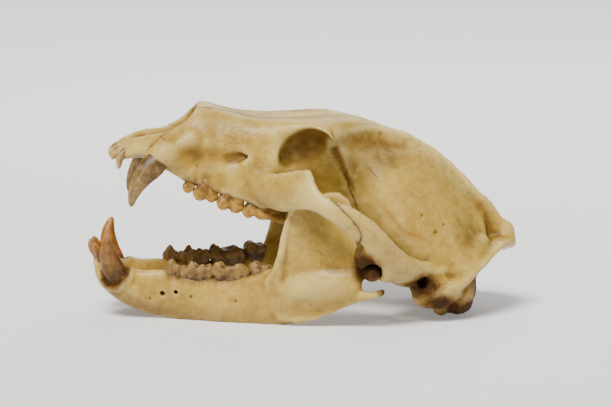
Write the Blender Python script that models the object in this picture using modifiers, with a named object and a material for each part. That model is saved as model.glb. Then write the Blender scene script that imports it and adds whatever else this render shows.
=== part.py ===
"""A brown bear skull with its jaw open: the cranium, the lower jaw and every tooth, each a closed solid.

Run it with blender --background --python part.py, or from the text editor.
The animal faces -X and its left side faces -Y. The lower jaw lies on z = 0 and the back of the
cranium leans on it, so the nose points up, as in a display case.
"""

import math

import bmesh
import bpy
import numpy as np

# Driving sizes, in metres. The outlines below are drawn on a grid of GRID_LENGTH units from the lower
# incisors to the back of the occiput, so LENGTH alone scales the whole skull.
LENGTH = 0.373
GRID_LENGTH = 373.0
UNIT = LENGTH / GRID_LENGTH

# The surface is first made this fine, in grid units, and then thinned to these triangle counts.
BONE_GRAIN = 2.2
CRANIUM_TRIANGLES = 3600
JAW_TRIANGLES = 1900

# Gaps between a bone and what sits in it.
SOCKET_GAP = 0.45
CONDYLE_GAP = 1.9

# A blade's ring is drawn a little outside its edges, because rounding it off draws it in.
BLADE_REACH = 1.06
BLADE_SWELL = 1.12

# Colour and roughness of each kind of piece.
FINISHES = {
    "bone": ((0.52, 0.38, 0.17, 1.0), 0.5),
    "upper_canine": ((0.32, 0.21, 0.12, 1.0), 0.3),
    "lower_canine": ((0.30, 0.15, 0.06, 1.0), 0.3),
    "upper_teeth": ((0.42, 0.23, 0.07, 1.0), 0.32),
    "lower_teeth": ((0.22, 0.14, 0.07, 1.0), 0.34),
}

# Half sections of the cranium's body, front to back. Each is x, then (half width, height) from the top
# midline, round the side, to the bottom midline.
BODY = [
    (-162.5, [
        (0, 145), (4, 145), (8, 144.5), (11, 143.5), (12, 142), (12, 140.5), (12, 139.5), (10, 138.5),
        (7, 138), (4, 138), (0, 138),
    ]),
    (-156.5, [
        (0, 148), (7, 148.5), (13, 147.5), (18, 145.5), (20.5, 143), (21.5, 141), (21, 139), (18, 137),
        (13, 136.5), (6, 137), (0, 137.5),
    ]),
    (-150, [
        (0, 153.5), (8, 154.5), (15, 154), (21, 151.5), (24.5, 148), (26, 145), (26, 141.5),
        (23, 138.5), (15, 138), (7, 138.5), (0, 139),
    ]),
    (-140, [
        (0, 158), (8, 159.5), (16, 159.5), (23, 156.5), (28, 152), (31, 148.5), (31.5, 145),
        (28, 142.5), (20, 141), (10, 140.5), (0, 140),
    ]),
    (-128, [
        (0, 159.5), (9, 160.5), (17, 160.5), (26, 157), (34, 152), (39, 147), (41.5, 142), (39, 137.5),
        (30, 136), (14, 137), (0, 138),
    ]),
    (-117, [
        (0, 162), (9, 162.5), (18, 162.5), (27, 159.5), (35, 154), (40, 147), (42, 139), (39, 130),
        (31, 127.5), (15, 133), (0, 134.5),
    ]),
    (-102, [
        (0, 167.5), (9, 168), (19, 169), (27, 166), (34, 158), (38, 148), (39.5, 138), (39.5, 122),
        (36, 118), (17, 127), (0, 130),
    ]),
    (-92, [
        (0, 187), (7, 187), (15, 184), (24, 176), (32, 163), (36.5, 151), (38.5, 138), (40, 121),
        (37.5, 114), (18, 123), (0, 126),
    ]),
    (-75, [
        (0, 182), (7, 182), (15, 180.5), (24, 174), (32, 163), (37, 151), (39.5, 138), (43.5, 117),
        (41.5, 109), (19, 119), (0, 122),
    ]),
    (-60, [
        (0, 177), (9, 177), (18, 177), (27, 173), (34, 163), (37.5, 151), (40, 138), (46, 114),
        (45, 102.5), (20, 113), (0, 117),
    ]),
    (-45, [
        (0, 172.5), (10, 173), (20, 174), (30, 171.5), (36.5, 163), (40, 151), (43.5, 138), (49, 115),
        (48, 97.5), (20, 107), (0, 112),
    ]),
    (-32, [
        (0, 170.5), (11, 171), (22, 173), (33, 171.5), (40, 163), (44, 151), (49, 139), (53.5, 116),
        (50, 93), (21, 102), (0, 107.5),
    ]),
    (-23, [
        (0, 170), (12, 170.5), (24, 173), (35, 172), (43, 164), (46, 154), (51, 142), (54, 117),
        (49, 89), (21, 98), (0, 104),
    ]),
    (-13, [
        (0, 170), (12, 170.5), (25, 173), (37, 172), (43, 165), (36, 156), (33, 143), (36, 118),
        (39, 87), (22, 95), (0, 101),
    ]),
    (0, [
        (0, 171), (12, 171.5), (26, 173), (39, 172), (45, 168), (37, 160), (30, 145), (28, 120),
        (29, 96), (20, 93), (0, 98),
    ]),
    (12, [
        (0, 172.5), (13, 173), (27, 174), (41, 172), (50, 168.5), (41, 161), (32, 145), (28, 122),
        (25, 97), (18, 90), (0, 93),
    ]),
    (24, [
        (0, 173.5), (13, 174), (27, 173.5), (40, 170), (48, 164), (42, 157), (34, 143), (31, 122),
        (26, 95), (18, 84), (0, 87),
    ]),
    (36, [
        (0, 173), (13, 173.5), (24, 172), (32, 167), (36, 158), (36.5, 148), (36, 135), (34, 115),
        (27, 92), (18, 79), (0, 81),
    ]),
    (50, [
        (0, 170), (11, 170), (20, 167), (28, 160), (34, 150), (39, 138), (42, 124), (44, 104),
        (40, 84), (24, 70), (0, 72),
    ]),
    (65, [
        (0, 166), (7, 165), (14, 160.5), (25, 152), (35, 142), (43, 130), (49, 115), (53, 97),
        (52, 76), (32, 58), (0, 60),
    ]),
    (80, [
        (0, 161), (4, 159), (10, 153), (23, 144), (35, 134), (45, 121), (52, 106), (57, 88), (60, 66),
        (40, 46), (0, 49),
    ]),
    (95, [
        (0, 154), (3, 152), (8, 146), (21, 137), (34, 127), (45, 114), (53, 98), (58, 79), (64, 55),
        (46, 34), (0, 37),
    ]),
    (110, [
        (0, 145.5), (3, 143.5), (8, 137), (20, 128), (33, 117), (44, 104), (52, 88), (58, 70),
        (66, 46), (46, 22), (0, 25),
    ]),
    (125, [
        (0, 134), (3, 132), (7, 125), (18, 116), (31, 105), (42, 92), (51, 77), (58, 61), (64, 41),
        (42, 14), (0, 13),
    ]),
    (136, [
        (0, 122), (3, 119.5), (6, 112), (15, 102), (27, 92), (38, 80), (49, 67), (58, 54), (61, 41),
        (34, 20), (0, 11),
    ]),
    (146, [
        (0, 111), (3, 108), (5, 100), (12, 91), (22, 82), (32, 74), (44, 65), (54, 54), (54, 43),
        (30, 32), (0, 31),
    ]),
    (155, [
        (0, 100), (3, 97), (4, 91), (9, 84), (16, 77), (24, 71), (35, 65), (45, 57), (44, 49),
        (18, 45), (0, 47),
    ]),
    (161, [
        (0, 86), (2, 84), (4, 81), (7, 77), (11, 73), (19, 69), (30, 64), (32, 58), (22, 54), (8, 54),
        (0, 56),
    ]),
]

# The zygomatic arch, from the cheek to the root over the ear: upper edge, lower edge, thickness.
ARCH = [
    ((-64, -30, 130), (-60, -32, 110), 8),
    ((-44, -42, 132), (-42, -44, 102), 12),
    ((-28, -53, 130), (-31, -55, 99), 15),
    ((-13, -70, 132.5), (-18, -78, 100.5), 12),
    ((-2, -84, 138.5), (-7, -90, 104.5), 9.5),
    ((2.5, -89, 141), (1, -98, 104), 8.5),
    ((5, -94, 130), (6, -101, 102.7), 8.5),
    ((9, -100, 120), (12, -105, 100), 8.5),
    ((21.5, -107, 113.5), (20, -108, 95.5), 8.5),
    ((34, -110, 111), (30, -109, 88), 9),
    ((45, -109.5, 104.5), (39, -109, 80.5), 9.5),
    ((55, -107, 96.5), (47, -107, 75), 10),
    ((66.7, -102, 84), (53, -104, 62), 12),
    ((75, -95, 74), (60, -97, 47), 15),
    ((84, -84, 64), (68, -85, 41), 19),
    ((95, -73, 56), (80, -72, 38.5), 19),
    ((109, -67, 52), (98, -64, 36), 14),
    ((124, -63, 50), (118, -58, 34), 10),
]
# The postorbital process of the frontal bone: upper edge, lower edge, thickness.
POSTORBITAL = [
    ((4, -34, 170), (3, -32, 160), 12),
    ((14, -45, 170), (12, -42, 161), 12),
    ((22, -51.5, 165.5), (17, -49, 157.5), 10),
    ((26, -56, 158), (22, -54.5, 154), 6),
]
# The sagittal crest: upper edge, lower edge, thickness.
SAGITTAL_CREST = [
    ((70, 0, 164.3), (66, 0, 150), 8),
    ((89.4, 0, 158.4), (82, 0, 140), 6),
    ((103.3, 0, 152), (95, 0, 132), 5.5),
    ((117.2, 0, 142.2), (108, 0, 120), 5.5),
    ((131.2, 0, 130.6), (120, 0, 108), 6),
    ((145.1, 0, 116.3), (133, 0, 94), 6),
    ((159.1, 0, 101.2), (145, 0, 80), 6),
    ((166.1, 0, 95.8), (150, 0, 72), 6),
    ((173, 0, 86.9), (154, 0, 64), 6.5),
    ((181, 0, 77.9), (156, 0, 60), 8),
    ((187, 0, 69), (158, 0, 57), 9),
    ((190, 0, 62), (160, 0, 54), 10),
]
# The nuchal crest from the occiput's tip, down the side, to the mastoid process: outer edge, inner edge, thickness.
NUCHAL_CREST = [
    ((191, 3, 60), (160, 6, 58), 11),
    ((186, -9, 59), (160, -5, 58), 11),
    ((178, -24, 61.5), (157, -14, 58), 9),
    ((171, -38, 61), (150, -26, 53), 8),
    ((165, -47, 57), (142, -34, 46), 8),
    ((156, -56, 50), (134, -40, 40), 9),
    ((148, -61, 43), (124, -44, 36), 11),
    ((139, -64, 35), (117, -46, 33), 13),
    ((128, -66, 26), (111, -49, 29), 14),
    ((117, -65, 17), (104, -50, 24), 14),
    ((108, -62, 12), (98, -52, 22), 12),
]
# The mastoid: a blunt lump under and behind the ear: upper edge, lower edge, thickness.
MASTOID = [
    ((87, -64, 46), (88, -57, 28), 12),
    ((98, -68, 44), (98, -60, 19), 15),
    ((109, -68.5, 42), (107, -60, 11.5), 16),
    ((122, -67, 38), (120, -58, 14), 15),
    ((135, -64, 38), (134, -50, 20), 12),
]

JAW_BODY = [
    ((-180.5, -7, 55), (-174, -7, 38), 14),
    ((-173, -16, 47), (-165, -11, 24.5), 24),
    ((-161, -24, 43), (-153.5, -15, 13), 27),
    ((-148, -26, 44.5), (-142, -18, 5), 22),
    ((-136, -28, 41.5), (-128, -22, 2), 17),
    ((-121, -31, 43), (-112, -28, 0), 16),
    ((-105, -35, 40.5), (-97, -34, -1), 17),
    ((-85, -39.5, 38), (-78, -41, -1.5), 18),
    ((-65, -45, 38), (-58, -48, -1.5), 19),
    ((-47, -51, 41), (-38, -55, -1.5), 18.5),
    ((-33, -57, 48.5), (-22, -61, -1), 17),
    ((-18, -66, 50), (-6, -67, 2), 14),
    ((-2, -72, 52), (10, -73, 6.5), 11),
    ((16, -77, 52), (24, -79, 14), 10),
    ((34, -81, 52), (38, -85, 20), 9),
    ((44, -84, 50), (47, -87, 25), 7),
]
# The side outline of the jaw's ramus, clockwise from the front of its foot: (x, height).
RAMUS_OUTLINE = [
    (-36, 38), (-29, 50), (-24.5, 62), (-21.5, 76), (-18.5, 90), (-14, 101), (-5, 108), (6, 112), (18, 115),
    (28, 115), (36, 109), (40, 98), (41, 84), (42.5, 73), (44.5, 63), (47, 55), (49, 46), (47.5, 40), (47, 33),
    (48, 26), (36, 20), (22, 13), (8, 6), (-8, 3), (-24, 4),
]
RAMUS_THICKNESS = 7.5

CONDYLE_CENTRE = (54, -75, 50)
CONDYLE_HALF_WIDTH = 24
CONDYLE_RADIUS = 7
CONDYLE_OUTER_RADIUS = 6.4
CONDYLE_INNER_RADIUS = 5.2
ANGULAR_PROCESS = [
    ((42, -86, 36), (40, -86, 22), 8),
    ((50, -87, 32.5), (48, -87, 25), 7),
    ((57, -88, 32), (56, -88, 27.5), 6),
    ((64, -88, 34), (64, -88, 30), 5),
]

SYMPHYSIS = [
    ((-179.5, 0, 52), (-174, 0, 40), 14),
    ((-168, 0, 45), (-163, 0, 25.5), 30),
    ((-152, 0, 37), (-148, 0, 13.5), 34),
    ((-136, 0, 29), (-134, 0, 8), 30),
    ((-121, 0, 21), (-120, 0, 10), 16),
]
# The shelf over the jaw's condyle, from its outer end to the braincase: front edge, back edge, thickness.
GLENOID = [
    ((44, -101, 64), (66, -99, 44), 12),
    ((46, -88, 67.5), (71, -86, 41), 16),
    ((49, -70, 68), (72, -68, 38), 17),
    ((52, -52, 68), (70, -50, 38), 17),
]
PTERYGOID = [
    ((-8, -17, 104), (-8, -17, 92), 5),
    ((12, -15, 96), (10, -16, 81), 4.5),
    ((28, -14, 90), (25, -15, 71), 4),
    ((43, -14, 84), (38, -15, 61), 4),
    ((54, -16, 77), (48, -16, 62), 5),
    ((64, -20, 68), (60, -19, 56), 7),
]
BULLA = ((90, -42, 38), (20, 17, 11))
OCCIPITAL_CONDYLE = ((134, -20, 12), (14.5, 14, 14.5))
PAROCCIPITAL = ((118, -48, 16), (9, 10, 13))

# What is cut away. Half sections as for the body.
NOSE_HOLE = [
    (-156, [(0, 175), (8, 175), (10, 168), (10, 160), (8, 154), (0, 152.5)]),
    (-142, [(0, 180), (13, 180), (16.5, 170), (17, 158), (13, 150), (0, 148)]),
    (-126, [(0, 186), (15, 186), (18.5, 175), (18.5, 158), (14, 148), (0, 146)]),
    (-110, [(0, 190), (14, 190), (18.5, 176), (18.5, 158), (13, 147), (0, 145)]),
    (-97, [(0, 190), (10, 188), (18, 176), (19, 160), (13, 146), (0, 143)]),
    (-89, [(0, 180), (8, 178.5), (16, 172), (18, 158), (12, 145), (0, 142)]),
    (-72, [(0, 174), (8, 173), (14, 167), (15, 155), (10, 145), (0, 142)]),
    (-50, [(0, 164), (5, 163), (8, 159), (9, 153), (6, 148), (0, 146)]),
]
CHOANA = [
    (-2, [(0, 99), (7, 98), (10, 94), (9, 88), (6, 80), (0, 79)]),
    (14, [(0, 101), (8, 100), (11, 93), (11, 82), (8, 68), (0, 67)]),
    (32, [(0, 91), (7, 89), (11, 82), (12, 68), (9, 55), (0, 54)]),
    (52, [(0, 74), (6, 73), (12, 66), (13, 56), (9, 44), (0, 43)]),
]
# Round holes from one point to another: start, end, radius.
CRANIUM_HOLES = [
    ((-70, -44, 142), (-36, -33, 142), 3.8),
    ((152, 0, 20), (96, 0, 42), 12.5),
    ((101, -82, 36), (98, -55, 40), 4.5),
]
JAW_HOLES = [
    ((-126, -48, 21), (-121, -32, 24), 2.3),
    ((-114, -50, 23), (-109, -34, 26), 2.0),
    ((20, -66, 36), (8, -76, 33), 3.5),
]
# The block below z = 0 that gives the jaw and the occipital condyles their flat resting faces.
GROUND = (600, 600, 60)

# The ball that presses the masseter's hollow into the ramus: middle, radii.
FOSSA = ((8, -89, 60), (24, 13, 27))

# Crown centre at the bone, length, width, crown height; then how high each cusp round it stands.
UPPER_CHEEK_TEETH = {
    "premolar_3": ((-98.5, -36.5, 118.5), 9.5, 6.5, 8, (1.0,)),
    "premolar_4": ((-83.5, -37, 113), 20, 12, 10.5, (1.0, 0.75, 0.8, 0.6)),
    "molar_1": ((-62.5, -39, 105), 23, 15.5, 10.5, (1.0, 0.8, 0.8, 1.0)),
    "molar_2": ((-33.5, -41, 95.5), 37, 17.5, 10.5, (1.0, 0.7, 0.65, 0.8)),
}
LOWER_CHEEK_TEETH = {
    "premolar_4": ((-113, -33.5, 39.5), 13.5, 8, 14, (1.0,)),
    "molar_1": ((-92.5, -38, 37.5), 28, 12.5, 15, (1.0, 0.8, 0.75, 0.9)),
    "molar_2": ((-63, -44.5, 38), 30.5, 16, 15, (0.95, 0.8, 0.8, 0.95)),
    "molar_3": ((-38, -51, 43.5), 18.5, 14, 11, (0.9, 0.85, 0.8, 0.9)),
}
UPPER_CROWN_AXIS = (-0.30, -0.04, -0.95)
LOWER_CROWN_AXIS = (0.0, 0.03, 1.0)
ROOT_DEPTH = 9

# Single-rooted teeth: points along the middle, each with its half length and half width there.
UPPER_CANINE = [
    ((-117, -33, 146), 7, 5.5), ((-124, -35.5, 140), 10.2, 6.8), ((-131, -38.5, 133.5), 11, 7.2),
    ((-138.5, -40.5, 126), 9.0, 6.6), ((-144.5, -41.6, 116.5), 6.4, 5.4), ((-147.8, -41.3, 107.5), 4.3, 3.9),
    ((-149, -40.2, 99.5), 1.9, 1.8),
]
LOWER_CANINE_LEFT = [
    ((-158, -23, 30), 8.0, 6.5), ((-162, -25.5, 39), 10.4, 8.0), ((-166, -28.5, 48), 9.6, 7.4),
    ((-168.5, -31.5, 57), 8.0, 6.3), ((-169.7, -34.3, 65.5), 5.4, 4.6), ((-169, -36, 72.5), 2.3, 2.1),
]
LOWER_CANINE_RIGHT = [
    ((-158, -23, 30), 8.0, 6.5), ((-162, -25.5, 39), 10.4, 8.0), ((-166, -28.5, 48), 9.6, 7.4),
    ((-168, -31.5, 58.5), 7.8, 6.2), ((-167.4, -34.3, 69.5), 5.2, 4.4), ((-164, -36, 79), 2.2, 2.0),
]
UPPER_INCISORS = {
    "incisor_1": [
        ((-155, -4.6, 147), 2.6, 2.0), ((-160, -5.0, 142), 3.9, 3.0),
        ((-163.5, -5.2, 137.5), 3.6, 3.3), ((-165, -5.4, 134.5), 1.8, 2.8),
    ],
    "incisor_2": [
        ((-152, -11.5, 147), 2.6, 2.0), ((-157.5, -12.8, 141.5), 4.3, 3.3),
        ((-161, -13.8, 136), 3.9, 3.6), ((-162.8, -14.2, 132.5), 1.9, 2.9),
    ],
    "incisor_3": [
        ((-145, -19, 147), 3.0, 2.6), ((-150.5, -20.5, 140), 5.3, 4.4), ((-155, -21.8, 133), 4.8, 4.2),
        ((-157.5, -22.3, 128.5), 2.0, 2.2),
    ],
}
LOWER_INCISORS = {
    "incisor_1": [
        ((-171, -3.3, 42), 2.2, 1.8), ((-178, -3.6, 51), 3.4, 2.7), ((-182.5, -3.8, 58), 3.1, 3.0),
        ((-184.8, -4.0, 62.5), 1.6, 2.5),
    ],
    "incisor_2": [
        ((-169, -8.6, 42), 2.4, 2.0), ((-176.5, -9.4, 51), 3.7, 3.0), ((-181.5, -10.4, 59), 3.4, 3.3),
        ((-184, -10.9, 64), 1.7, 2.7),
    ],
    "incisor_3": [
        ((-167, -13.0, 43), 2.8, 2.0), ((-174, -15.0, 51), 4.3, 3.2),
        ((-178.8, -16.6, 59.5), 3.9, 3.6), ((-181, -17.2, 65), 1.8, 2.6),
    ],
}


def mesh_object(name, points, faces):
    """A mesh drawn in grid units, as an object in metres, with its faces turned outwards."""
    mesh = bpy.data.meshes.new(name)
    mesh.from_pydata([(UNIT * x, UNIT * y, UNIT * z) for x, y, z in points], [], faces)
    work = bmesh.new()
    work.from_mesh(mesh)
    bmesh.ops.recalc_face_normals(work, faces=work.faces)
    if work.calc_volume(signed=True) < 0:
        bmesh.ops.reverse_faces(work, faces=work.faces)
    work.to_mesh(mesh)
    work.free()
    made = bpy.data.objects.new(name, mesh)
    bpy.context.scene.collection.objects.link(made)
    return made


def skin_of(name, rings):
    """A closed cage through rings of equally many points, its two ends filled."""
    count = len(rings[0])
    points = [point for ring in rings for point in ring]
    faces = [tuple(range(count)), tuple((len(rings) - 1) * count + i for i in range(count))[::-1]]
    for r in range(len(rings) - 1):
        for i in range(count):
            j = (i + 1) % count
            faces.append((r * count + i, r * count + j, (r + 1) * count + j, (r + 1) * count + i))
    return mesh_object(name, points, faces)


def loft(name, sections):
    """A cage through half sections, each mirrored to its other side."""
    rings = []
    for x, half in sections:
        near = [(x, -y, z) for y, z in half]
        far = [(x, y, z) for y, z in half[1:-1]]
        rings.append(near + far[::-1])
    return skin_of(name, rings)


def unit(vector):
    return vector / np.linalg.norm(vector)


def blade(name, stations, sides=10):
    """A cage along stations of upper edge, lower edge and thickness."""
    upper = np.array([s[0] for s in stations], float)
    lower = np.array([s[1] for s in stations], float)
    middle = (upper + lower) / 2
    rings = []
    for i, station in enumerate(stations):
        ahead = middle[min(i + 1, len(stations) - 1)] - middle[max(i - 1, 0)]
        across = (upper[i] - lower[i]) / 2
        side = unit(np.cross(ahead, across)) * station[2] / 2
        ring = []
        for k in range(sides):
            angle = 2 * math.pi * k / sides
            rise = across * BLADE_REACH * math.cos(angle)
            ring.append(middle[i] + rise + side * BLADE_SWELL * math.sin(angle))
        rings.append(ring)
    return skin_of(name, rings)


def spike(name, stations, grow=0.0, sides=10):
    """A curved tooth with a blunt tip: rings square to its path. `grow` fattens it, for its socket."""
    path = np.array([s[0] for s in stations], float)
    ahead_at = [unit(path[min(i + 1, len(path) - 1)] - path[max(i - 1, 0)]) for i in range(len(path))]
    rings = []
    for i, (_, half_length, half_width) in enumerate(stations):
        wide = unit(np.cross(ahead_at[i], (1.0, 0.0, 0.0)))
        long = unit(np.cross(wide, ahead_at[i]))
        middle = path[i] - ahead_at[i] * (grow if i == 0 else 0.0)
        ring = []
        for k in range(sides):
            angle = 2 * math.pi * k / sides
            ring.append(
                middle
                + long * (half_length + grow) * math.cos(angle)
                + wide * (half_width + grow) * math.sin(angle)
            )
        rings.append(ring)
    return skin_of(name, rings)


def cheek_tooth(name, tooth, axis, grow=0.0, sides=12):
    """A low crown on a root: a ring of cusps round a shallow basin. `grow` fattens it, for its socket."""
    centre, length, width, height, cusps = tooth
    up = unit(np.array(axis, float))
    long = unit(np.cross((0.0, 1.0, 0.0), up))
    wide = np.cross(up, long)
    # Height along the tooth, and how wide it is there.
    levels = [(-ROOT_DEPTH - grow, 0.62), (-1.5, 0.90), (0.28 * height, 1.0), (0.62 * height, 0.90)]
    rings = []
    for level, share in levels:
        ring = []
        for k in range(sides):
            angle = 2 * math.pi * k / sides
            x = (length / 2 * share + grow) * squared(math.cos(angle))
            y = (width / 2 * share + grow) * squared(math.sin(angle))
            ring.append(np.array(centre) + long * x + wide * y + up * level)
        rings.append(ring)
    top = []
    for k in range(sides):
        angle = 2 * math.pi * k / sides
        phase = angle / (2 * math.pi) * len(cusps)
        tall = cusps[int(phase) % len(cusps)] * (0.84 + 0.16 * math.sin(math.pi * (phase % 1.0)))
        x = (length / 2 * 0.66 + grow) * squared(math.cos(angle))
        y = (width / 2 * 0.58 + grow) * squared(math.sin(angle))
        top.append(np.array(centre) + long * x + wide * y + up * (height * tall + grow))
    rings.append(top)
    return skin_of(name, rings)


def squared(value):
    """Rounds a circle towards a square."""
    return math.copysign(abs(value) ** 0.75, value)


def ball(name, middle, radii):
    bpy.ops.mesh.primitive_uv_sphere_add(segments=24, ring_count=16, radius=UNIT)
    made = bpy.context.object
    made.name = name
    made.scale = radii
    made.location = [UNIT * v for v in middle]
    bpy.ops.object.transform_apply(location=True, rotation=True, scale=True)
    return made


def rod(name, start, end, radius, end_radius=None, sides=20):
    """A round bar, for a hole or for the jaw's condyle."""
    start, end = np.array(start, float), np.array(end, float)
    along = unit(end - start)
    first = unit(np.cross(along, (0.0, 0.0, 1.0) if abs(along[2]) < 0.9 else (1.0, 0.0, 0.0)))
    second = np.cross(along, first)
    rings = []
    for middle, r in ((start, radius), (end, radius if end_radius is None else end_radius)):
        angles = [2 * math.pi * k / sides for k in range(sides)]
        rings.append([middle + r * (first * math.cos(a) + second * math.sin(a)) for a in angles])
    return skin_of(name, rings)


def mirrored(points_of):
    """The same stations on the animal's right side."""
    turned = []
    for station in points_of:
        turned.append(tuple((p[0], -p[1], p[2]) if isinstance(p, tuple) else p for p in station))
    return turned


def bake(made):
    """Applies the object's modifiers."""
    graph = bpy.context.evaluated_depsgraph_get()
    mesh = bpy.data.meshes.new_from_object(made.evaluated_get(graph))
    made.modifiers.clear()
    made.data = mesh
    return made


def softened(made, levels=2):
    step = made.modifiers.new("Subdivision", "SUBSURF")
    step.levels = levels
    step.render_levels = levels
    return bake(made)


def joined(name, pieces):
    bpy.ops.object.select_all(action="DESELECT")
    for piece in pieces:
        piece.select_set(True)
    bpy.context.view_layer.objects.active = pieces[0]
    bpy.ops.object.join()
    pieces[0].name = name
    return pieces[0]


def remeshed(made, grain, smooth):
    """One skin round all the pieces, then smoothed."""
    step = made.modifiers.new("Remesh", "REMESH")
    step.mode = "VOXEL"
    step.voxel_size = grain * UNIT
    step = made.modifiers.new("Smooth", "SMOOTH")
    step.factor = 0.5
    step.iterations = smooth
    return bake(made)


def thinned(made, triangles):
    made.modifiers.new("Triangulate", "TRIANGULATE")
    bake(made)
    step = made.modifiers.new("Decimate", "DECIMATE")
    step.ratio = triangles / len(made.data.polygons)
    step.use_collapse_triangulate = True
    return bake(made)


def cut(made, cutters):
    """Cuts every cutter out of a piece and clears the cutters away."""
    for number, cutter in enumerate(cutters):
        step = made.modifiers.new(f"Cut {number}", "BOOLEAN")
        step.operation = "DIFFERENCE"
        step.solver = "EXACT"
        step.object = cutter
    bake(made)
    for cutter in cutters:
        bpy.data.objects.remove(cutter)
    return made


def both_sides(name, stations, maker):
    return [maker(name + "_left", stations), maker(name + "_right", mirrored(stations))]


def cranium():
    pieces = [softened(loft("body", BODY))]
    for name, stations in (
        ("arch", ARCH), ("postorbital", POSTORBITAL), ("nuchal", NUCHAL_CREST), ("mastoid", MASTOID),
        ("glenoid", GLENOID), ("pterygoid", PTERYGOID),
    ):
        pieces += [softened(piece) for piece in both_sides(name, stations, blade)]
    pieces.append(softened(blade("sagittal", SAGITTAL_CREST)))
    for middle, radii in (BULLA, OCCIPITAL_CONDYLE, PAROCCIPITAL):
        for side in (1, -1):
            pieces.append(ball("lump", (middle[0], side * middle[1], middle[2]), radii))
    whole = remeshed(joined("cranium", pieces), BONE_GRAIN, 3)
    cutters = [softened(loft("nose", NOSE_HOLE)), softened(loft("choana", CHOANA))]
    for start, end, radius in CRANIUM_HOLES:
        cutters.append(rod("hole", start, end, radius))
        if start[1]:
            cutters.append(rod("hole", *[(p[0], -p[1], p[2]) for p in (start, end)], radius))
    return thinned(remeshed(cut(whole, cutters), BONE_GRAIN, 1), CRANIUM_TRIANGLES)


def ramus_y(x, z):
    """How far out the middle of the ramus stands: splayed at its foot, upright at its top."""
    up = min(max((z - 22) / 85, 0.0), 1.0)
    return -(69 * up + (66 + 0.27 * (x + 20)) * (1 - up))


def ramus():
    rings = []
    for side in (-1, 1):
        rings.append([(x, ramus_y(x, z) + side * RAMUS_THICKNESS / 2, z) for x, z in RAMUS_OUTLINE])
    return rings


def jaw():
    pieces = []
    for name, stations in (("body", JAW_BODY), ("angle", ANGULAR_PROCESS)):
        pieces += [softened(piece) for piece in both_sides(name, stations, blade)]
    pieces.append(softened(blade("symphysis", SYMPHYSIS)))
    x, y, z = CONDYLE_CENTRE
    for side in (1, -1):
        pieces.append(skin_of("ramus", [[(p[0], side * p[1], p[2]) for p in ring] for ring in ramus()]))
        outer, inner = y - CONDYLE_HALF_WIDTH, y + CONDYLE_HALF_WIDTH
        ends = [(x, side * outer, z - 1), (x - 1, side * inner, z)]
        pieces.append(rod("condyle", *ends, CONDYLE_OUTER_RADIUS, CONDYLE_INNER_RADIUS))
        pieces.append(rod("neck", (x - 2, side * (y - 8), z - 2), (x - 16, side * (y - 6), z - 4), 6, 8))
    whole = remeshed(joined("lower_jaw", pieces), BONE_GRAIN, 3)
    cutters = []
    for side in (1, -1):
        middle, radii = FOSSA
        cutters.append(ball("fossa", (middle[0], side * middle[1], middle[2]), radii))
        for start, end, radius in JAW_HOLES:
            cutters.append(rod("hole", *[(p[0], side * p[1], p[2]) for p in (start, end)], radius))
    return thinned(remeshed(cut(whole, cutters), BONE_GRAIN, 1), JAW_TRIANGLES)


def turned_tooth(tooth, side):
    return (((tooth[0][0], side * tooth[0][1], tooth[0][2]), *tooth[1:]))


def teeth_of(upper, grow=0.0):
    """Every tooth of one jaw, or, with `grow`, every socket."""
    made = []
    jaw_name = "upper" if upper else "lower"
    for side_name, side in (("left", 1), ("right", -1)):
        right = side < 0
        for kind, stations in (UPPER_INCISORS if upper else LOWER_INCISORS).items():
            name = f"{jaw_name}_{kind}_{side_name}"
            made.append(spike(name, mirrored(stations) if right else stations, grow, 8))
        canine = UPPER_CANINE if upper else LOWER_CANINE_RIGHT if right else LOWER_CANINE_LEFT
        made.append(spike(f"{jaw_name}_canine_{side_name}", mirrored(canine) if right else canine, grow))
        for kind, tooth in (UPPER_CHEEK_TEETH if upper else LOWER_CHEEK_TEETH).items():
            axis = UPPER_CROWN_AXIS if upper else LOWER_CROWN_AXIS
            name = f"{jaw_name}_{kind}_{side_name}"
            made.append(
                cheek_tooth(name, turned_tooth(tooth, side), (axis[0], side * axis[1], axis[2]), grow)
            )
    return made


def material(name, colour, roughness):
    made = bpy.data.materials.new(name)
    made.use_nodes = True
    shader = made.node_tree.nodes["Principled BSDF"]
    shader.inputs["Base Color"].default_value = colour
    shader.inputs["Roughness"].default_value = roughness
    return made


def slot_of(name):
    """Which finish a node wears."""
    if name in ("cranium", "lower_jaw"):
        return "bone"
    jaw_name, kind = name.split("_")[:2]
    return f"{jaw_name}_canine" if kind == "canine" else f"{jaw_name}_teeth"


def main():
    for old in list(bpy.data.objects):
        bpy.data.objects.remove(old)
    bones = {True: cranium(), False: jaw()}
    nodes = []
    for upper, bone in bones.items():
        sockets = teeth_of(upper, SOCKET_GAP)
        bpy.ops.mesh.primitive_cube_add(size=1)
        ground = bpy.context.object
        ground.scale = [UNIT * side for side in GROUND]
        ground.location = (0, 0, -UNIT * GROUND[2] / 2)
        bpy.ops.object.transform_apply(location=True, rotation=True, scale=True)
        cutters = [*sockets, ground]
        if upper:
            x, y, z = CONDYLE_CENTRE
            for side in (1, -1):
                outer, inner = y - CONDYLE_HALF_WIDTH - 12, y + CONDYLE_HALF_WIDTH + 2
                ends = [(x, side * outer, z), (x, side * inner, z)]
                cutters.append(rod("fossa", *ends, CONDYLE_RADIUS + CONDYLE_GAP))
        cut(bone, cutters)
        nodes += [bone, *teeth_of(upper)]
    materials = {slot: material(slot, *finish) for slot, finish in FINISHES.items()}
    home = bpy.data.collections.new("brown_bear_skull")
    bpy.context.scene.collection.children.link(home)
    corners = np.array([v.co[:] for node in nodes for v in node.data.vertices])
    # The skull's own middle goes over the origin.
    middle = (corners[:, 0].min() + corners[:, 0].max()) / 2
    for node in nodes:
        for old in node.users_collection:
            old.objects.unlink(node)
        home.objects.link(node)
        node.data.materials.clear()
        node.data.materials.append(materials[slot_of(node.name)])
        for vertex in node.data.vertices:
            vertex.co.x -= middle


main()
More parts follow.
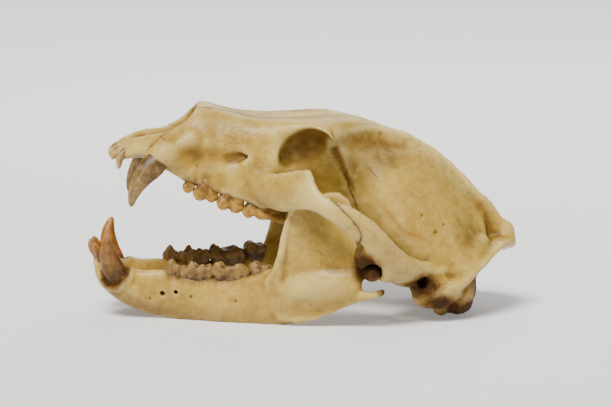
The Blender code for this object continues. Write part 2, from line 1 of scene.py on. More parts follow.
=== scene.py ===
"""A brown bear skull with its jaw open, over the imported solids: fine bone, every tooth, stains, cracks.

The grid below is in millimetres: x runs along the skull with the nose at -x, -y is the animal's left side,
z is up. Shapes are drawn on the left side and mirrored. Each form starts from rings that are extruded one
from the next, all are fused by a voxel remesh, and strokes then raise ridges, press hollows and cut sutures.
"""

import math

import bmesh
import bpy
import numpy as np
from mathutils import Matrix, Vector


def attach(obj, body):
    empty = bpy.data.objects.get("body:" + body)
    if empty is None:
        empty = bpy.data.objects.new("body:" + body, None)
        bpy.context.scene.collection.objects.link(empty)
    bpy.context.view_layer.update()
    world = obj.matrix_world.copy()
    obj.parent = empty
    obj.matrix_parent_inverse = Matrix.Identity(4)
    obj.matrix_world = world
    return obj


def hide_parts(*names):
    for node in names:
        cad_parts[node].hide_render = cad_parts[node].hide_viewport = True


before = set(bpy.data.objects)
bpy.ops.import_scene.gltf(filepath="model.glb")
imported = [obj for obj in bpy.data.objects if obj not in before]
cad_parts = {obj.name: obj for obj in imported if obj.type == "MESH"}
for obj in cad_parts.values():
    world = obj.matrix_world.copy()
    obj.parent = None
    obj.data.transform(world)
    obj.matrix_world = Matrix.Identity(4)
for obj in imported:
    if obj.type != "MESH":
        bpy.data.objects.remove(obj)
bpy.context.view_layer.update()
bpy.ops.object.select_all(action="DESELECT")

MM = 0.001
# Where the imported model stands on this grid.
SHIFT = -0.33
# Voxel sizes of each bone's first skin and of its last.
CRANIUM_FIRST_GRAIN = 1.8
CRANIUM_GRAIN = 1.6
JAW_FIRST_GRAIN = 1.6
JAW_GRAIN = 1.02
# A drawn line ignores most of how deep the surface lies.
SEAM_DEPTH = 0.12
# How far a blade's rings reach past its edges and its thickness, because subdividing draws them in.
BLADE_REACH = 1.06
BLADE_SWELL = 1.12
# Half sections of the cranium's body, front to back. Each is x, then (half width, height) from the top
# midline, round the side, to the bottom midline.
BODY = [
    (-162.5, [(0, 148.5), (4, 148.5), (8, 147.5), (11, 145.5), (12, 143), (12, 140.5), (12, 139.5),
        (10, 138.5), (7, 138), (4, 138), (0, 138)]),
    (-156.5, [(0, 151.5), (7, 152.5), (13, 151.5), (18, 148.5), (20.5, 145), (21.5, 141), (21, 139),
        (18, 137), (13, 136.5), (6, 137), (0, 137.5)]),
    (-150, [(0, 153.5), (8, 154.5), (15, 154), (21, 151.5), (24.5, 148), (26, 145), (26, 141.5),
        (23, 138.5), (15, 138), (7, 138.5), (0, 139)]),
    (-140, [(0, 158), (8, 159.5), (16, 159.5), (23, 156.5), (28, 152), (31, 148.5), (31.5, 145),
        (28, 142.5), (20, 141), (10, 140.5), (0, 140)]),
    (-128, [(0, 159.5), (9, 160.5), (17, 160.5), (26, 157), (34, 152), (39, 147), (41.5, 142), (39, 137.5),
        (30, 136), (14, 137), (0, 138)]),
    (-117, [(0, 162), (9, 162.5), (18, 162.5), (27, 159.5), (35, 154), (40, 147), (42, 139), (39, 130),
        (31, 127.5), (15, 133), (0, 134.5)]),
    (-102, [(0, 167.5), (9, 168), (19, 169), (27, 166), (34, 158), (38, 148), (39.5, 138), (39.5, 122),
        (36, 118), (17, 127), (0, 130)]),
    (-92, [(0, 187), (7, 187), (15, 184), (24, 176), (32, 163), (36.5, 151), (38.5, 138), (40, 121),
        (37.5, 114), (18, 123), (0, 126)]),
    (-75, [(0, 182), (7, 182), (15, 180.5), (24, 174), (32, 163), (37, 151), (39.5, 138), (43.5, 117),
        (41.5, 109), (19, 119), (0, 122)]),
    (-60, [(0, 177), (9, 177), (18, 177), (27, 173), (34, 163), (37.5, 151), (40, 138), (46, 114),
        (45, 102.5), (20, 113), (0, 117)]),
    (-45, [(0, 172.5), (10, 173), (20, 174), (30, 171.5), (36.5, 163), (40, 151), (43.5, 138), (49, 115),
        (48, 97.5), (20, 107), (0, 112)]),
    (-32, [(0, 170.5), (11, 171), (22, 173), (33, 171.5), (40, 163), (44, 151), (49, 139), (53.5, 116),
        (50, 93), (21, 102), (0, 107.5)]),
    (-23, [(0, 170), (12, 170.5), (24, 173), (35, 172), (43, 164), (46, 154), (51, 142), (54, 117),
        (49, 89), (21, 98), (0, 104)]),
    (-13, [(0, 170), (12, 170.5), (25, 173), (37, 172), (43, 165), (36, 156), (33, 143), (36, 118),
        (39, 87), (22, 95), (0, 101)]),
    (0, [(0, 171), (12, 171.5), (26, 173), (39, 172), (45, 168), (37, 160), (30, 145), (28, 120), (29, 96),
        (20, 93), (0, 98)]),
    (12, [(0, 172.5), (13, 173), (27, 174), (41, 172), (50, 168.5), (41, 161), (32, 145), (28, 122),
        (25, 97), (18, 90), (0, 93)]),
    (24, [(0, 173.5), (13, 174), (27, 173.5), (40, 170), (48, 164), (42, 157), (34, 143), (31, 122),
        (26, 95), (18, 84), (0, 87)]),
    (36, [(0, 173), (13, 173.5), (24, 172), (32, 167), (36, 158), (36.5, 148), (36, 135), (34, 115),
        (27, 92), (18, 79), (0, 81)]),
    (50, [(0, 170), (11, 170), (20, 167), (28, 160), (34, 150), (39, 138), (42, 124), (44, 104), (40, 84),
        (24, 70), (0, 72)]),
    (65, [(0, 166), (7, 165), (14, 160.5), (25, 152), (35, 142), (43, 130), (49, 115), (53, 97), (52, 76),
        (32, 58), (0, 60)]),
    (80, [(0, 161), (4, 159), (10, 153), (23, 144), (35, 134), (45, 121), (52, 106), (57, 88), (60, 66),
        (40, 46), (0, 49)]),
    (95, [(0, 154), (3, 152), (8, 146), (21, 137), (34, 127), (45, 114), (53, 98), (58, 79), (64, 55),
        (46, 34), (0, 37)]),
    (110, [(0, 145.5), (3, 143.5), (8, 137), (20, 128), (33, 117), (44, 104), (52, 88), (58, 70), (66, 46),
        (46, 22), (0, 25)]),
    (125, [(0, 134), (3, 132), (7, 125), (18, 116), (31, 105), (42, 92), (51, 77), (58, 61), (64, 41),
        (42, 14), (0, 13)]),
    (136, [(0, 122), (3, 119.5), (6, 112), (15, 102), (27, 92), (38, 80), (49, 67), (58, 54), (61, 41),
        (38, 18), (0, 11)]),
    (146, [(0, 111), (3, 108), (5, 100), (12, 91), (22, 82), (32, 74), (44, 65), (54, 54), (54, 43),
        (34, 20), (0, 30)]),
    (155, [(0, 100), (3, 97), (4, 91), (9, 84), (16, 77), (24, 71), (35, 65), (45, 57), (44, 49), (22, 42),
        (0, 46)]),
    (161, [(0, 86), (2, 84), (4, 81), (7, 77), (11, 73), (19, 69), (30, 64), (32, 58), (22, 54), (8, 54),
        (0, 56)]),
]

# The zygomatic arch, from the cheek to the root over the ear: upper edge, lower edge, thickness.
ARCH = [
    ((-64, -30, 130), (-60, -32, 110), 8),
    ((-44, -42, 132), (-42, -44, 102), 12),
    ((-28, -53, 130), (-31, -55, 99), 15),
    ((-13, -70, 132.5), (-18, -78, 100.5), 12),
    ((-2, -84, 138.5), (-7, -90, 104.5), 9.5),
    ((2.5, -89, 141), (1, -98, 104), 8.5),
    ((5, -94, 130), (6, -101, 102.7), 8.5),
    ((9, -100, 120), (12, -105, 100), 8.5),
    ((21.5, -107, 113.5), (20, -108, 95.5), 8.5),
    ((34, -110, 111), (30, -109, 88), 9),
    ((45, -109.5, 104.5), (39, -109, 80.5), 9.5),
    ((55, -107, 96.5), (47, -107, 75), 10),
    ((66.7, -102, 84), (53, -104, 62), 12),
    ((75, -95, 74), (60, -97, 47), 15),
    ((84, -84, 64), (68, -85, 41), 19),
    ((95, -73, 56), (80, -72, 38.5), 19),
    ((109, -67, 52), (98, -64, 36), 14),
    ((124, -63, 50), (118, -58, 34), 10),
]
# The postorbital process of the frontal bone: upper edge, lower edge, thickness.
POSTORBITAL = [
    ((4, -33, 170), (3, -31, 161), 9),
    ((14, -43.5, 170), (12, -41, 162), 9),
    ((22, -50, 165.5), (18, -48, 158.5), 7),
    ((26, -54, 158), (23, -52.5, 154), 5),
]
# The sagittal crest: upper edge, lower edge, thickness.
SAGITTAL_CREST = [
    ((70, 0, 164.3), (66, 0, 150), 8),
    ((89.4, 0, 158.4), (82, 0, 140), 6),
    ((103.3, 0, 152), (95, 0, 132), 5.5),
    ((117.2, 0, 142.2), (108, 0, 120), 5.5),
    ((131.2, 0, 130.6), (120, 0, 108), 6),
    ((145.1, 0, 116.3), (133, 0, 94), 6),
    ((159.1, 0, 101.2), (145, 0, 80), 6),
    ((166.1, 0, 95.8), (150, 0, 72), 6),
    ((173, 0, 86.9), (154, 0, 64), 6.5),
    ((181, 0, 77.9), (156, 0, 60), 8),
    ((187, 0, 69), (158, 0, 57), 9),
    ((190, 0, 62), (160, 0, 54), 10),
]
# The nuchal crest from the occiput's tip, down the side, to the mastoid process: outer and inner edge,
# thickness.
NUCHAL_CREST = [
    ((191, 3, 60), (160, 6, 58), 11),
    ((186, -9, 59), (160, -5, 58), 11),
    ((178, -24, 61.5), (157, -14, 58), 9),
    ((171, -38, 61), (150, -26, 53), 8),
    ((165, -47, 57), (142, -34, 46), 8),
    ((156, -56, 50), (134, -40, 40), 9),
    ((148, -61, 43), (124, -44, 36), 11),
    ((139, -64, 35), (117, -46, 33), 13),
    ((128, -66, 26), (111, -49, 29), 14),
    ((117, -65, 17), (104, -50, 24), 14),
    ((108, -62, 12), (98, -52, 22), 12),
]
# The mastoid, a blunt lump under and behind the ear: upper edge, lower edge, thickness.
MASTOID = [
    ((87, -64, 46), (88, -57, 28), 12),
    ((98, -68, 44), (98, -60, 19), 15),
    ((109, -68.5, 42), (107, -60, 11.5), 16),
    ((122, -67, 38), (120, -58, 14), 15),
    ((135, -64, 38), (134, -50, 20), 12),
]

# Each half of the lower jaw, front to back: upper edge, lower edge, thickness.
JAW_BODY = [
    ((-180.5, -7, 55), (-174, -7, 38), 14),
    ((-173, -16, 47), (-165, -11, 24.5), 24),
    ((-161, -24, 43), (-153.5, -15, 13), 27),
    ((-148, -26, 44.5), (-142, -18, 5), 22),
    ((-136, -28, 41.5), (-128, -22, 2), 17),
    ((-121, -31, 43), (-112, -28, 0), 16),
    ((-105, -35, 40.5), (-97, -34, -1), 17),
    ((-85, -39.5, 38), (-78, -41, -1.5), 18),
    ((-65, -45, 38), (-58, -48, -1.5), 19),
    ((-47, -51, 41), (-38, -55, -1.5), 18.5),
    ((-33, -57, 48.5), (-22, -61, -1), 17),
    ((-18, -66, 50), (-6, -67, 2), 14),
    ((-2, -72, 52), (10, -73, 6.5), 11),
    ((16, -77, 52), (24, -79, 14), 10),
    ((34, -81, 52), (38, -85, 20), 9),
    ((44, -84, 50), (47, -87, 25), 7),
]
# The side outline of the jaw's ramus, clockwise from the front of its foot: (x, height).
RAMUS_OUTLINE = [
    (-36, 38), (-29, 50), (-24.5, 62), (-21.5, 76), (-18.5, 90), (-14, 101), (-5, 108), (6, 112), (18, 115),
    (28, 115), (36, 109), (40, 98), (41, 84), (42.5, 73), (44.5, 63), (47, 55), (49, 46), (47.5, 40),
        (47, 33),
    (48, 26), (36, 20), (22, 13), (8, 6), (-8, 3), (-24, 4),
]
RAMUS_THICKNESS = 7.5

# The jaw's condyle, and the trough in the cranium that it lies in.
CONDYLE_CENTRE = (54, -75, 50)
CONDYLE_HALF_WIDTH = 24
CONDYLE_OUTER_RADIUS = 8.0
CONDYLE_INNER_RADIUS = 7.4
CONDYLE_END_RADII = (8.4, 8, 8)
NECK_RADIUS = 6.5
NECK_FRONT_RADIUS = 3.6
FOSSA_RADIUS = 8.9
# The jaw's rear corner.
ANGULAR_PROCESS = [
    ((42, -86, 36), (40, -86, 22), 8),
    ((50, -87, 33), (48, -87, 24), 8),
    ((57, -88, 33), (56, -88, 25.5), 7.5),
    ((63, -88, 35), (63.5, -88, 28), 7),
    ((65.5, -88, 34.5), (66, -88, 30.5), 5),
]
# Where the two halves meet at the chin.
SYMPHYSIS = [
    ((-179.5, 0, 52), (-174, 0, 40), 14),
    ((-168, 0, 45), (-163, 0, 25.5), 30),
    ((-152, 0, 37), (-148, 0, 13.5), 34),
    ((-136, 0, 29), (-134, 0, 8), 30),
    ((-121, 0, 21), (-120, 0, 10), 16),
]
# The shelf over the jaw's condyle, from its outer end to the braincase: front edge, back edge, thickness.
GLENOID = [
    ((44, -101, 64), (66, -99, 44), 12),
    ((46, -88, 67.5), (71, -86, 41), 16),
    ((49, -70, 68), (72, -68, 38), 17),
    ((52, -52, 68), (70, -50, 38), 17),
]
# The bone over the upper canine's root, down to the socket's rim: upper edge, lower edge, thickness.
CANINE_WALL = [
    ((-124, -30, 156), (-134.5, -35, 147), 13),
    ((-117, -32, 153), (-129.5, -37, 141.5), 17),
    ((-109, -34, 148), (-123.5, -38.5, 135), 17),
    ((-101, -35, 141), (-115, -39, 129.5), 12),
]
# The thin wall beside the inner nostril.
PTERYGOID = [
    ((-8, -17, 104), (-8, -17, 92), 5),
    ((12, -15, 96), (10, -16, 81), 4.5),
    ((28, -14, 90), (25, -15, 71), 4),
    ((43, -14, 84), (38, -15, 61), 4),
    ((54, -16, 77), (48, -16, 62), 5),
    ((64, -20, 68), (60, -19, 56), 7),
]
# Rounded forms: middle, radii, and how each is turned, in degrees.
EAR_LUMPS = [
    ((90, -42, 38), (20, 17, 11)),
    ((48, -93, 64), (9, 12, 12)),
    ((135, -38, 24), (13, 20, 22), (0, 12, 0)),
    ((106, -60, 24), (16, 9, 12)),
]
CONDYLE_LUMPS = [
    ((136, -23, 13), (12.5, 11, 14.5), (22, 0, 0)),
    ((129, -14, 6), (13, 9, 8.5), (0, 15, 0)),
    ((118, -48, 16), (9, 10, 13)),
]
INION_LUMPS = [((180, 0, 67), (8.5, 8, 12)), ((184, 0, 58.5), (5, 8, 5.5))]
EYE_BOWL = ((2, -53, 143.5), (25.5, 26, 25.5))

# What is cut away. Half sections as for the body.
NOSE_HOLE = [
    (-156, [(0, 175), (8, 175), (10, 168), (10, 160), (8, 154), (0, 152.5)]),
    (-142, [(0, 180), (13, 180), (16.5, 170), (17, 158), (13, 150), (0, 148)]),
    (-126, [(0, 186), (15, 186), (18.5, 175), (18.5, 158), (14, 148), (0, 146)]),
    (-110, [(0, 190), (14, 190), (18.5, 176), (18.5, 158), (13, 147), (0, 145)]),
    (-97, [(0, 190), (10, 188), (18, 176), (19, 160), (13, 146), (0, 143)]),
    (-89, [(0, 180), (8, 178.5), (16, 172), (18, 158), (12, 145), (0, 142)]),
    (-72, [(0, 174), (8, 173), (14, 167), (15, 155), (10, 145), (0, 142)]),
    (-50, [(0, 164), (5, 163), (8, 159), (9, 153), (6, 148), (0, 146)]),
]
CHOANA = [
    (-2, [(0, 99), (7, 98), (10, 94), (9, 88), (6, 80), (0, 79)]),
    (14, [(0, 101), (8, 100), (11, 93), (11, 82), (8, 68), (0, 67)]),
    (32, [(0, 91), (7, 89), (11, 82), (12, 68), (9, 55), (0, 54)]),
    (52, [(0, 74), (6, 73), (12, 66), (13, 56), (9, 44), (0, 43)]),
]
# Round holes from one point to another: start, end, radius.
CRANIUM_HOLES = [
    ((-90, -45.3, 142), (-38, -36, 142), 2.6),
    ((152, 0, 20), (104, 0, 46), 12),
    ((101, -82, 36), (98, -55, 40), 4.5),
    ((-147, -5.5, 150), (-149, -5.5, 130), 2.8),
    ((66, -34, 80), (74, -30, 58), 2.4),
    ((118, -22, 24), (124, -30, 2), 3.0),
    ((20, -40, 108), (30, -24, 104), 2.6),
    ((-24, -30, 112), (-30, -27, 88), 1.6),
]
JAW_HOLES = [
    ((-126, -48, 21), (-121, -32, 24), 2.3),
    ((-114, -50, 23), (-109, -34, 26), 2.0),
    ((20, -66, 36), (8, -76, 33), 3.5),
]
# Crown centre at the bone, length, width, crown height.
UPPER_CHEEK_TEETH = {
    "premolar_3": ((-98.5, -36.5, 118.5), 9.5, 6.5, 8),
    "premolar_4": ((-83.5, -37, 113), 20, 12, 10.5),
    "molar_1": ((-62.5, -39, 105), 23, 15.5, 10.5),
    "molar_2": ((-33.5, -41, 95.5), 37, 17.5, 10.5),
}
LOWER_CHEEK_TEETH = {
    "premolar_4": ((-113, -33.5, 39.5), 13.5, 8, 14),
    "molar_1": ((-92.5, -38, 37.5), 28, 12.5, 15),
    "molar_2": ((-63, -44.5, 38), 30.5, 16, 15),
    "molar_3": ((-38, -51, 43.5), 18.5, 14, 11),
}
UPPER_CROWN_AXIS = (-0.30, -0.04, -0.95)
LOWER_CROWN_AXIS = (0.0, 0.03, 1.0)

# Single-rooted teeth: points along the middle, each with its half length and half width there.
UPPER_CANINE = [
    ((-117, -33, 146), 7, 5.5), ((-124, -35.5, 140), 10.2, 6.8), ((-131, -38.5, 133.5), 11, 7.2),
    ((-138.5, -40.5, 126), 9.0, 6.6), ((-144.5, -41.6, 116.5), 6.4, 5.4), ((-147.8, -41.3, 107.5), 4.3, 3.9),
    ((-149, -40.2, 99.5), 1.9, 1.8),
]
LOWER_CANINE_LEFT = [
    ((-158, -23, 30), 8.0, 6.5), ((-162, -25.5, 39), 10.4, 8.0), ((-166, -28.5, 48), 9.6, 7.4),
    ((-168.5, -31.5, 57), 8.0, 6.3), ((-169.7, -34.3, 65.5), 5.4, 4.6), ((-169, -36, 72.5), 2.3, 2.1),
]
LOWER_CANINE_RIGHT = [
    ((-158, -23, 30), 8.0, 6.5), ((-162, -25.5, 39), 10.4, 8.0), ((-166, -28.5, 48), 9.6, 7.4),
    ((-168, -31.5, 58.5), 7.8, 6.2), ((-167.4, -34.3, 69.5), 5.2, 4.4), ((-164, -36, 79), 2.2, 2.0),
]
UPPER_INCISORS = {
    "incisor_1": [((-157, -4.6, 149), 2.6, 2.0), ((-162, -5.0, 145), 3.4, 3.0), ((-165, -5.2, 141.5),
        3.0, 3.2), ((-166.2, -5.4, 138.5), 1.5, 2.6)],
    "incisor_2": [((-155, -11.5, 149), 2.6, 2.0), ((-160, -12.6, 144), 3.6, 3.2), ((-163, -13.4, 140),
        3.1, 3.3), ((-164.4, -13.8, 137), 1.5, 2.6)],
    "incisor_3": [((-149, -19.5, 148), 2.8, 2.4), ((-155.5, -21, 143), 4.2, 3.6), ((-158.3, -22, 138.4),
        3.5, 3.1), ((-158.5, -22.3, 133.7), 2.4, 2.3), ((-158.6, -22.4, 130), 1.2, 1.2)],
}
LOWER_INCISORS = {
    "incisor_1": [((-171, -3.3, 42), 2.2, 1.8), ((-178, -3.6, 51), 3.4, 2.7), ((-182.5, -3.8, 58),
        3.1, 3.0), ((-184.8, -4.0, 62.5), 1.6, 2.5)],
    "incisor_2": [((-169, -8.6, 42), 2.4, 2.0), ((-176.5, -9.4, 51), 3.7, 3.0), ((-181.5, -10.4, 59),
        3.4, 3.3), ((-184, -10.9, 64), 1.7, 2.7)],
    "incisor_3": [((-167, -13.0, 43), 2.8, 2.0), ((-174, -15.0, 51), 4.3, 3.2), ((-178.8, -16.6, 59.5),
        3.9, 3.6), ((-181, -17.2, 65), 1.8, 2.6)],
}


def unit(vector):
    return vector / np.linalg.norm(vector)


def turns(sides):
    """The cosine and sine of each corner of a ring."""
    angles = [2 * math.pi * k / sides for k in range(sides)]
    return [(math.cos(angle), math.sin(angle)) for angle in angles]


def opposite(place):
    """The same place on the animal's right side."""
    return (place[0], -place[1], place[2])


def hooped(name, rings):
    """Draws a filled hoop and extrudes it from ring to ring."""
    bpy.ops.mesh.primitive_circle_add(vertices=len(rings[0]), radius=1, fill_type="NGON")
    piece = bpy.context.object
    piece.name = name
    bpy.ops.object.mode_set(mode="EDIT")
    for number, ring in enumerate(rings):
        if number:
            bpy.ops.mesh.extrude_region_move()
        work = bmesh.from_edit_mesh(piece.data)
        chosen = [vertex for vertex in work.verts if vertex.select]
        for vertex, place in zip(chosen, ring):
            vertex.co = place
        bmesh.update_edit_mesh(piece.data)
    bpy.ops.mesh.select_all(action="SELECT")
    bpy.ops.mesh.normals_make_consistent(inside=False)
    bpy.ops.object.mode_set(mode="OBJECT")
    return piece


def finish_with(piece, kind, **settings):
    """Adds one modifier to a piece and applies it."""
    bpy.ops.object.select_all(action="DESELECT")
    bpy.context.view_layer.objects.active = piece
    piece.select_set(True)
    step = piece.modifiers.new(kind, kind)
    for key, value in settings.items():
        setattr(step, key, value)
    bpy.ops.object.modifier_apply(modifier=step.name)
    return piece


def soft(piece, levels=3):
    return finish_with(piece, "SUBSURF", levels=levels, render_levels=levels)


def loft(name, sections):
    """Rings from half sections, each mirrored to its other side."""
    rings = []
    for x, half in sections:
        rings.append([(x, -y, z) for y, z in half] + [(x, y, z) for y, z in half[-2:0:-1]])
    return soft(hooped(name, rings))


def blade(name, stations):
    """Flat rings along stations of upper edge, lower edge and thickness."""
    upper = np.array([s[0] for s in stations], float)
    lower = np.array([s[1] for s in stations], float)
    middle = (upper + lower) / 2
    rings = []
    for i, station in enumerate(stations):
        ahead = middle[min(i + 1, len(stations) - 1)] - middle[max(i - 1, 0)]
        across = (upper[i] - lower[i]) / 2
        side = unit(np.cross(ahead, across)) * station[2] / 2
        across, side = across * BLADE_REACH, side * BLADE_SWELL
        rings.append([middle[i] + across * c + side * s for c, s in turns(12)])
    return soft(hooped(name, rings), 2)


def spike(name, stations):
    """Rings square to a tooth's curved path."""
    path = np.array([s[0] for s in stations], float)
    rings = []
    for i, (_, half_length, half_width) in enumerate(stations):
        ahead = unit(path[min(i + 1, len(path) - 1)] - path[max(i - 1, 0)])
        wide = unit(np.cross(ahead, (1.0, 0.0, 0.0)))
        long = unit(np.cross(wide, ahead))
        rings.append([path[i] + long * half_length * c + wide * half_width * s for c, s in turns(16)])
    return soft(hooped(name, rings), 3)


def lump(name, middle, radii, turn=(0, 0, 0)):
    bpy.ops.mesh.primitive_uv_sphere_add(segments=32, ring_count=20, radius=1)
    piece = bpy.context.object
    piece.name = name
    piece.scale = radii
    piece.rotation_euler = [math.radians(angle) for angle in turn]
    piece.location = middle
    bpy.ops.object.transform_apply(location=True, rotation=True, scale=True)
    return piece


def rod(name, start, end, radius, end_radius=None):
    start, end = np.array(start, float), np.array(end, float)
    along = unit(end - start)
    first = unit(np.cross(along, (0.0, 0.0, 1.0) if abs(along[2]) < 0.9 else (1.0, 0.0, 0.0)))
    second = np.cross(along, first)
    rings = []
    for middle, r in ((start, radius), (end, radius if end_radius is None else end_radius)):
        rings.append([middle + r * (first * c + second * s) for c, s in turns(24)])
    return hooped(name, rings)


def mirrored(stations):
    return [tuple(opposite(p) if isinstance(p, tuple) else p for p in station) for station in stations]


def twins(name, stations, maker):
    return [maker(name + "_left", stations), maker(name + "_right", mirrored(stations))]


def lump_twins(name, middle, radii, turn=(0, 0, 0)):
    return [
        lump(name + "_left", middle, radii, turn),
        lump(name + "_right", opposite(middle), radii, (-turn[0], turn[1], -turn[2])),
    ]


def fused(name, pieces, grain, rounds):
    """One skin round all the pieces, smoothed."""
    bpy.ops.object.select_all(action="DESELECT")
    for piece in pieces:
        piece.select_set(True)
    bpy.context.view_layer.objects.active = pieces[0]
    bpy.ops.object.join()
    whole = bpy.context.object
    whole.name = name
    return reskinned(whole, grain, rounds)


def reskinned(whole, grain, rounds):
    finish_with(whole, "REMESH", mode="VOXEL", voxel_size=grain)
    return finish_with(whole, "SMOOTH", factor=0.5, iterations=rounds)


def hollowed(whole, cutters):
    """Cuts the cutters out of a piece and clears them away."""
    for cutter in cutters:
        finish_with(whole, "BOOLEAN", operation="DIFFERENCE", solver="MANIFOLD", object=cutter)
        bpy.data.objects.remove(cutter)
    return whole


def read(items, key, width, kind=float):
    """One property of all a mesh's items, as rows."""
    values = np.empty(len(items) * width, kind)
    items.foreach_get(key, values)
    return values.reshape(-1, width)


class Clay:
    """A piece's points as arrays, for strokes that are drawn on the left side and land on both."""

    def __init__(self, piece):
        self.piece = piece
        self.points = read(piece.data.vertices, "co", 3)
        self.edges = read(piece.data.edges, "vertices", 2, int)
        self.degree = np.bincount(self.edges.ravel(), minlength=len(self.points)).astype(float)
        self.stains = {}
        self.refresh()

    def refresh(self):
        """Writes the points back, and reads the folded points and normals again."""
        mesh = self.piece.data
        mesh.vertices.foreach_set("co", self.points.ravel())
        mesh.update()
        self.normals = read(mesh.vertex_normals, "vector", 3)
        self.folded = self.points.copy()
        self.folded[:, 1] = -np.abs(self.folded[:, 1])

    def near(self, path, radius):
        """How close each point is to a polyline, 1 on it and 0 at the radius, with the indices it reaches."""
        path = np.atleast_2d(np.array(path, float))
        low, high = path.min(axis=0) - radius, path.max(axis=0) + radius
        reach = np.flatnonzero(((self.folded > low) & (self.folded < high)).all(axis=1))
        places = self.folded[reach]
        best = np.full(len(reach), np.inf)
        if len(path) == 1:
            best = np.linalg.norm(places - path[0], axis=1)
        for start, end in zip(path[:-1], path[1:]):
            line = end - start
            share = np.clip((places - start) @ line / (line @ line), 0, 1)
            best = np.minimum(best, np.linalg.norm(places - start - share[:, None] * line, axis=1))
        close = best < radius
        return reach[close], 1 - best[close] / radius

    def raise_line(self, path, radius, height, stain=None, amount=1.0, power=1.0):
        """Raises the surface along a line, or presses it where height is negative."""
        reach, close = self.near(path, radius)
        swell = (close * close * (3 - 2 * close)) ** power
        self.points[reach] += self.normals[reach] * (height * swell)[:, None]
        if stain:
            self.stain(stain, swell * amount, reach)

    def press(self, middle, radii, depth, stain=None, amount=1.0):
        """Moves an oval patch along its normals."""
        close = 1 - np.linalg.norm((self.folded - np.array(middle, float)) / np.array(radii, float), axis=1)
        reach = np.flatnonzero(close > 0)
        close = close[reach]
        swell = close * close * (3 - 2 * close)
        self.points[reach] += self.normals[reach] * (-depth * swell)[:, None]
        if stain:
            self.stain(stain, swell * amount, reach)

    def stain(self, name, amount, reach=slice(None)):
        layer = self.stains.setdefault(name, np.zeros(len(self.points)))
        layer[reach] = np.maximum(layer[reach], amount)

    def averaged(self, values):
        """Each point's value as the mean of its neighbours'."""
        columns = []
        for column in np.atleast_2d(values.T):
            sums = [np.bincount(a, column[b], len(values)) for a, b in (self.edges.T, self.edges.T[::-1])]
            columns.append((sums[0] + sums[1]) / self.degree)
        return np.array(columns).T.reshape(values.shape)

    def relax(self, rounds, keep=0.5, where=None):
        for _ in range(rounds):
            moved = self.averaged(self.points)
            share = 1 - keep if where is None else ((1 - keep) * where)[:, None]
            self.points += (moved - self.points) * share

    def roughen(self, size, height, seed, depth=3, where=None):
        """Raises and lowers the surface by a soft noise."""
        noise = lattice_noise(self.points / size, seed, depth)
        if where is not None:
            noise = noise * where
        self.points += self.normals * (height * noise)[:, None]

    def hollows(self, rounds):
        """How far each point lies inside its surroundings, in millimetres."""
        smooth = self.points.copy()
        for _ in range(rounds):
            smooth += (self.averaged(smooth) - smooth) * 0.9
        return ((smooth - self.points) * self.normals).sum(axis=1)

    def done(self):
        """Leaves the piece in metres, with its stains as attributes."""
        self.refresh()
        mesh = self.piece.data
        for name, layer in self.stains.items():
            attribute = mesh.attributes.new(name, "FLOAT", "POINT")
            attribute.data.foreach_set("value", np.clip(layer, 0, 1))
        self.points[:, 2] = np.maximum(self.points[:, 2], 0.0)
        placed = (self.points + np.array([SHIFT, 0, 0])) * MM
        mesh.vertices.foreach_set("co", placed.ravel())
        mesh.update()
        mesh.shade_smooth()
        return self.piece


LATTICE_FACTORS = (73856093, 19349663, 83492791)
LATTICE_VALUES = 4096


def lattice_noise(places, seed, depth):
    """Smooth noise between about -1 and 1, from random values on a lattice, in a few finer layers."""
    total = np.zeros(len(places))
    table = np.random.default_rng(seed).uniform(-1, 1, LATTICE_VALUES)
    strength = 1.0
    for layer in range(depth):
        spot = places * 2.03**layer + 17.3 * layer
        cell = np.floor(spot).astype(np.int64)
        part = spot - cell
        part = part * part * (3 - 2 * part)
        value = np.zeros(len(places))
        for corner in np.ndindex(2, 2, 2):
            mixed = np.bitwise_xor.reduce((cell + corner) * LATTICE_FACTORS, axis=1)
            weight = np.prod(np.where(corner, part, 1 - part), axis=1)
            value += table[(mixed >> 3) % LATTICE_VALUES] * weight
        total += value * strength
        strength *= 0.5
    return total


# The bone's own marks, drawn on the left side: path, reach, height.
CRANIUM_RIDGES = [
    # the temporal line, from the postorbital process to the sagittal crest
    ([(25.6, -58, 155), (31, -49, 161), (39, -36, 165), (50, -25, 164.5), (64, -14, 162), (79, -6, 158.5),
        (92, -3, 154)], 4.5, 1.5),
    # the frontal's edge behind the eye
    ([(26, -52, 153), (28, -44, 146), (31, -39, 137), (34, -37, 129)], 4, 1.2),
    # the rim of the occiput
    ([(157, -11, 99), (159, -23, 84), (164, -37, 68), (168, -46, 61), (157, -57, 51), (148, -62, 45),
        (138, -67, 37)], 4.5, 0.9),
    ([(168, -46, 61), (177, -28, 61), (184, -14, 60)], 4.5, 0.9),
    # the eye's rim
    ([(-20, -47, 157), (-13, -45, 161), (-5, -44, 166), (6, -46, 170), (16, -52, 170),
        (22, -56, 165)], 4, 0.9),
    ([(-24, -50, 147), (-24, -56, 139), (-19, -64, 133.5), (-12, -72, 132.5), (-6, -79, 136)], 4.5, 1.2),
    # the bone that holds the upper cheek teeth
    ([(-104, -40, 122), (-92, -41, 117.5), (-75, -43, 112), (-60, -46, 106), (-45, -48.5, 101),
        (-30, -49, 96)], 6.5, 2.0),
    # over the root of the upper canine
    ([(-130, -40, 138), (-120, -41, 146), (-108, -38, 153), (-97, -34, 159)], 11, 2.0),
    # the lip under the infraorbital canal
    ([(-55, -43, 147), (-50, -44, 142.5), (-52, -43.5, 138)], 5, 1.8),
    # the lower edge of the cheek
    ([(-40, -45, 104), (-28, -55, 101), (-16, -78, 102), (-5, -92, 104)], 5, 1.0),
    # the crest over the ear
    ([(76, -86, 60), (88, -76, 53), (100, -71, 47), (113, -68, 46), (128, -65, 48), (142, -62, 49)], 5, 1.0),
]
